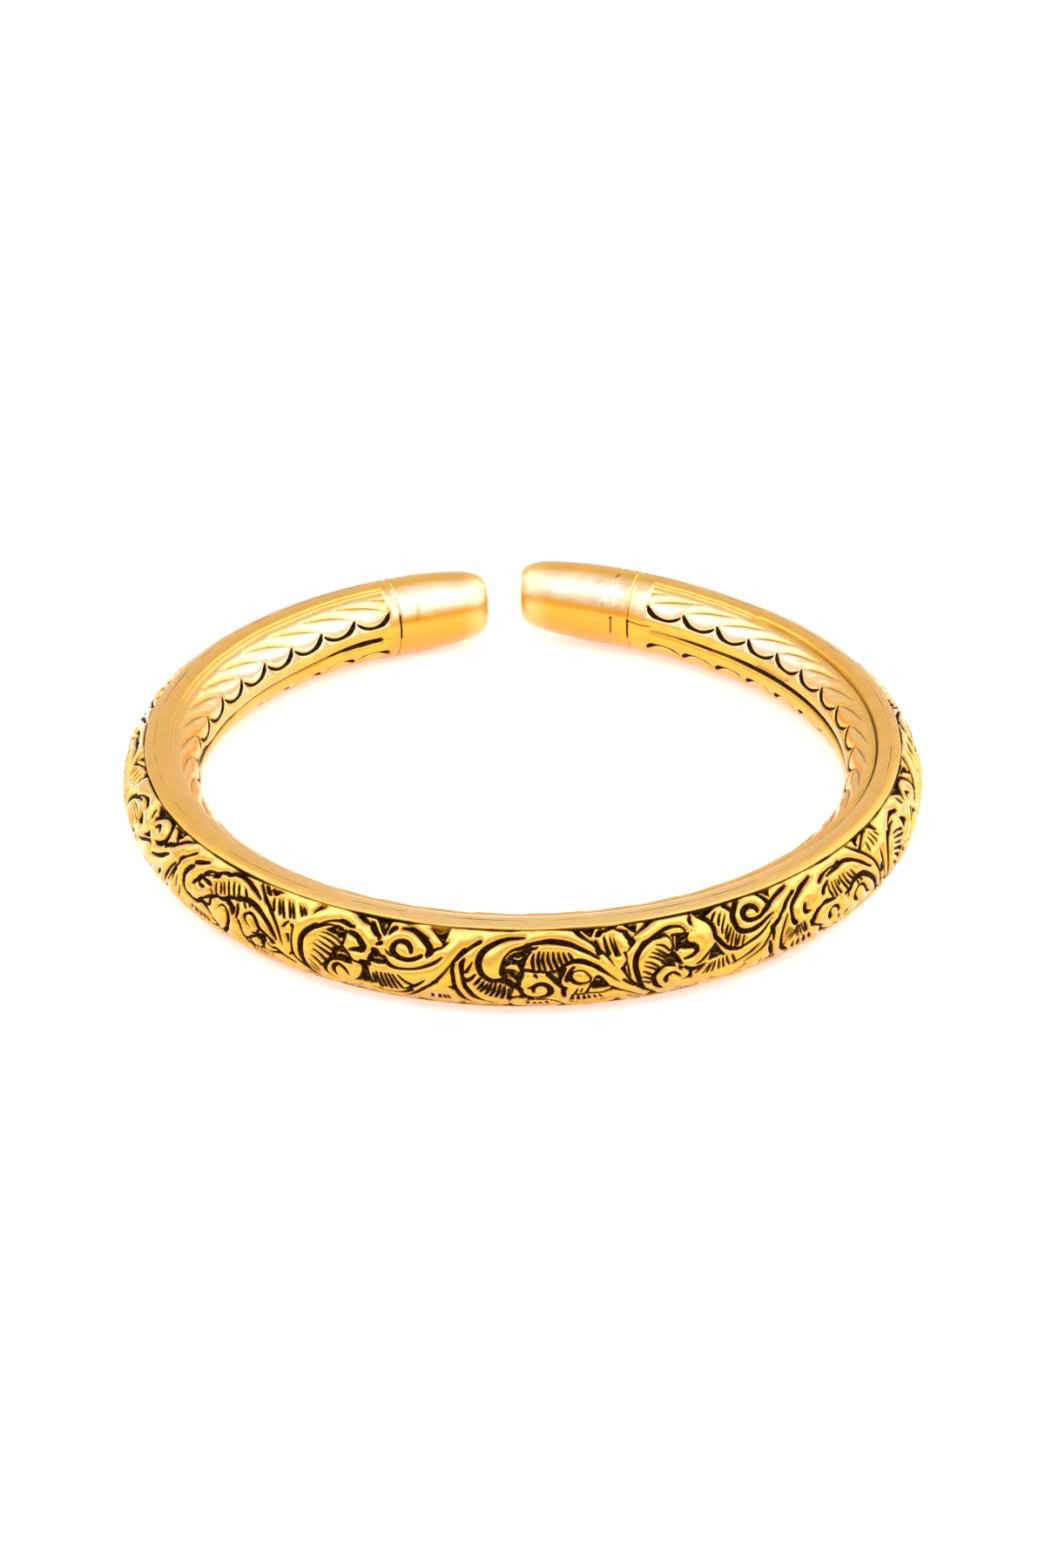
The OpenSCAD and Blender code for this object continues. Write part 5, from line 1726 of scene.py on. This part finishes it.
def plain_floor():
    mesh = bpy.data.meshes.new("floor")
    corners = [(x * FLOOR_HALF, y * FLOOR_HALF, 0) for x, y in ((-1, -1), (1, -1), (1, 1), (-1, 1))]
    mesh.from_pydata(corners, [], [(0, 1, 2, 3)])
    made = bpy.data.objects.new("floor", mesh)
    scene.collection.objects.link(made)
    paper = bpy.data.materials.new("white_paper")
    paper.use_nodes = True
    body = paper.node_tree.nodes["Principled BSDF"]
    body.inputs["Base Color"].default_value = (PAPER_WHITE, PAPER_WHITE, PAPER_WHITE, 1)
    body.inputs["Roughness"].default_value = PAPER_ROUGH
    body.inputs["Emission Color"].default_value = (1, 1, 1, 1)
    body.inputs["Emission Strength"].default_value = PAPER_GLOW
    mesh.materials.append(paper)
    return made


floor = plain_floor()
floor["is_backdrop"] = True
print("the floor is", 2 * FLOOR_HALF, "metres wide")

# %% [markdown]
# ## Light
# Polished metal shows its surroundings, and the bright bands on the real hoop look like large
# soft boxes. Three area lamps stand for them, one at each side and one in front and above, and
# the white world is the rest of the room. The Standard view keeps that white from going grey.

# %% Light
BOX_DISTANCE = 0.5                 # metres from the hoop to each lamp
WORLD_BRIGHTNESS = 0.94
# name, direction in degrees round from the front and up, width and height in metres, brightness
LAMPS = [
    ("left_box", -88, 45, (0.70, 0.40), 0.95),
    ("right_box", 85, 38, (1.10, 0.42), 0.95),
    ("front_top", 6, 64, (0.60, 0.34), 0.95),
]


def glow(name, side, height, size, brightness):
    """A soft box that faces the hoop. Its power follows from its brightness and its size."""
    data = bpy.data.lights.new(name, "AREA")
    data.shape, data.size, data.size_y = "RECTANGLE", size[0], size[1]
    data.energy = math.pi * size[0] * size[1] * brightness
    made = bpy.data.objects.new(name, data)
    a, b = math.radians(side), math.radians(height)
    toward = Vector((math.sin(a) * math.cos(b), -math.cos(a) * math.cos(b), math.sin(b)))
    made.location = toward * BOX_DISTANCE
    made.rotation_euler = toward.to_track_quat("Z", "Y").to_euler()
    scene.collection.objects.link(made)


for lamp in LAMPS:
    glow(*lamp)
world = bpy.data.worlds.new("white_room")
world.use_nodes = True
world.node_tree.nodes["Background"].inputs["Color"].default_value = (1.0, 1.0, 1.0, 1)
world.node_tree.nodes["Background"].inputs["Strength"].default_value = WORLD_BRIGHTNESS
scene.world = world
scene.view_settings.view_transform = "Standard"

# %% [markdown]
# ## Camera
# The camera was fitted to the hoop's outline in the photograph: 30 degrees above the floor,
# a few degrees off the hoop's front, at eight times its radius. Its two shifts are shares of
# the radius, and it looks at the middle of the hoop's height.

# %% Camera
AZIMUTH, ELEVATION, DISTANCE_R = math.radians(3.4), math.radians(29.58), 8.0
FIT_R, LOOK_HEIGHT = 34.8, 4.1     # mm: the radius that the fit was made with, and the height
SHIFT_RIGHT, SHIFT_UP = -0.0008, -0.0535
LENS, SENSOR = 65.89, 36.0

forward = Vector((math.sin(AZIMUTH) * math.cos(ELEVATION), math.cos(AZIMUTH) * math.cos(ELEVATION),
                  -math.sin(ELEVATION)))
right = forward.cross(Vector((0, 0, 1))).normalized()
upward = right.cross(forward)
spot = Vector((0, 0, LOOK_HEIGHT)) \
    + FIT_R * (right * SHIFT_RIGHT + upward * SHIFT_UP - forward * DISTANCE_R)
data = bpy.data.cameras.new("photo_camera")
data.sensor_width, data.sensor_fit, data.lens = SENSOR, "AUTO", LENS
data.clip_start, data.clip_end = 0.01, 10.0
camera = bpy.data.objects.new("photo_camera", data)
rows = [(right[k], upward[k], -forward[k], spot[k] / 1000) for k in range(3)]
camera.matrix_world = Matrix((*rows, (0, 0, 0, 1)))
scene.collection.objects.link(camera)
bpy.context.scene.camera = camera
print("camera at", [round(c * 1000) for c in camera.location], "mm")

# %% [markdown] ## Sizes and the end The last sizes are the corners of the CAD's box, and of
# the box round it with all the finished pieces on.

# %% Sizes, and the end
boxes = [[list(map(float, corner)) for corner in box] for box in (cad_box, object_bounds())]
print("with its pieces on, the hoop goes from", boxes[1][0], "to", boxes[1][1])
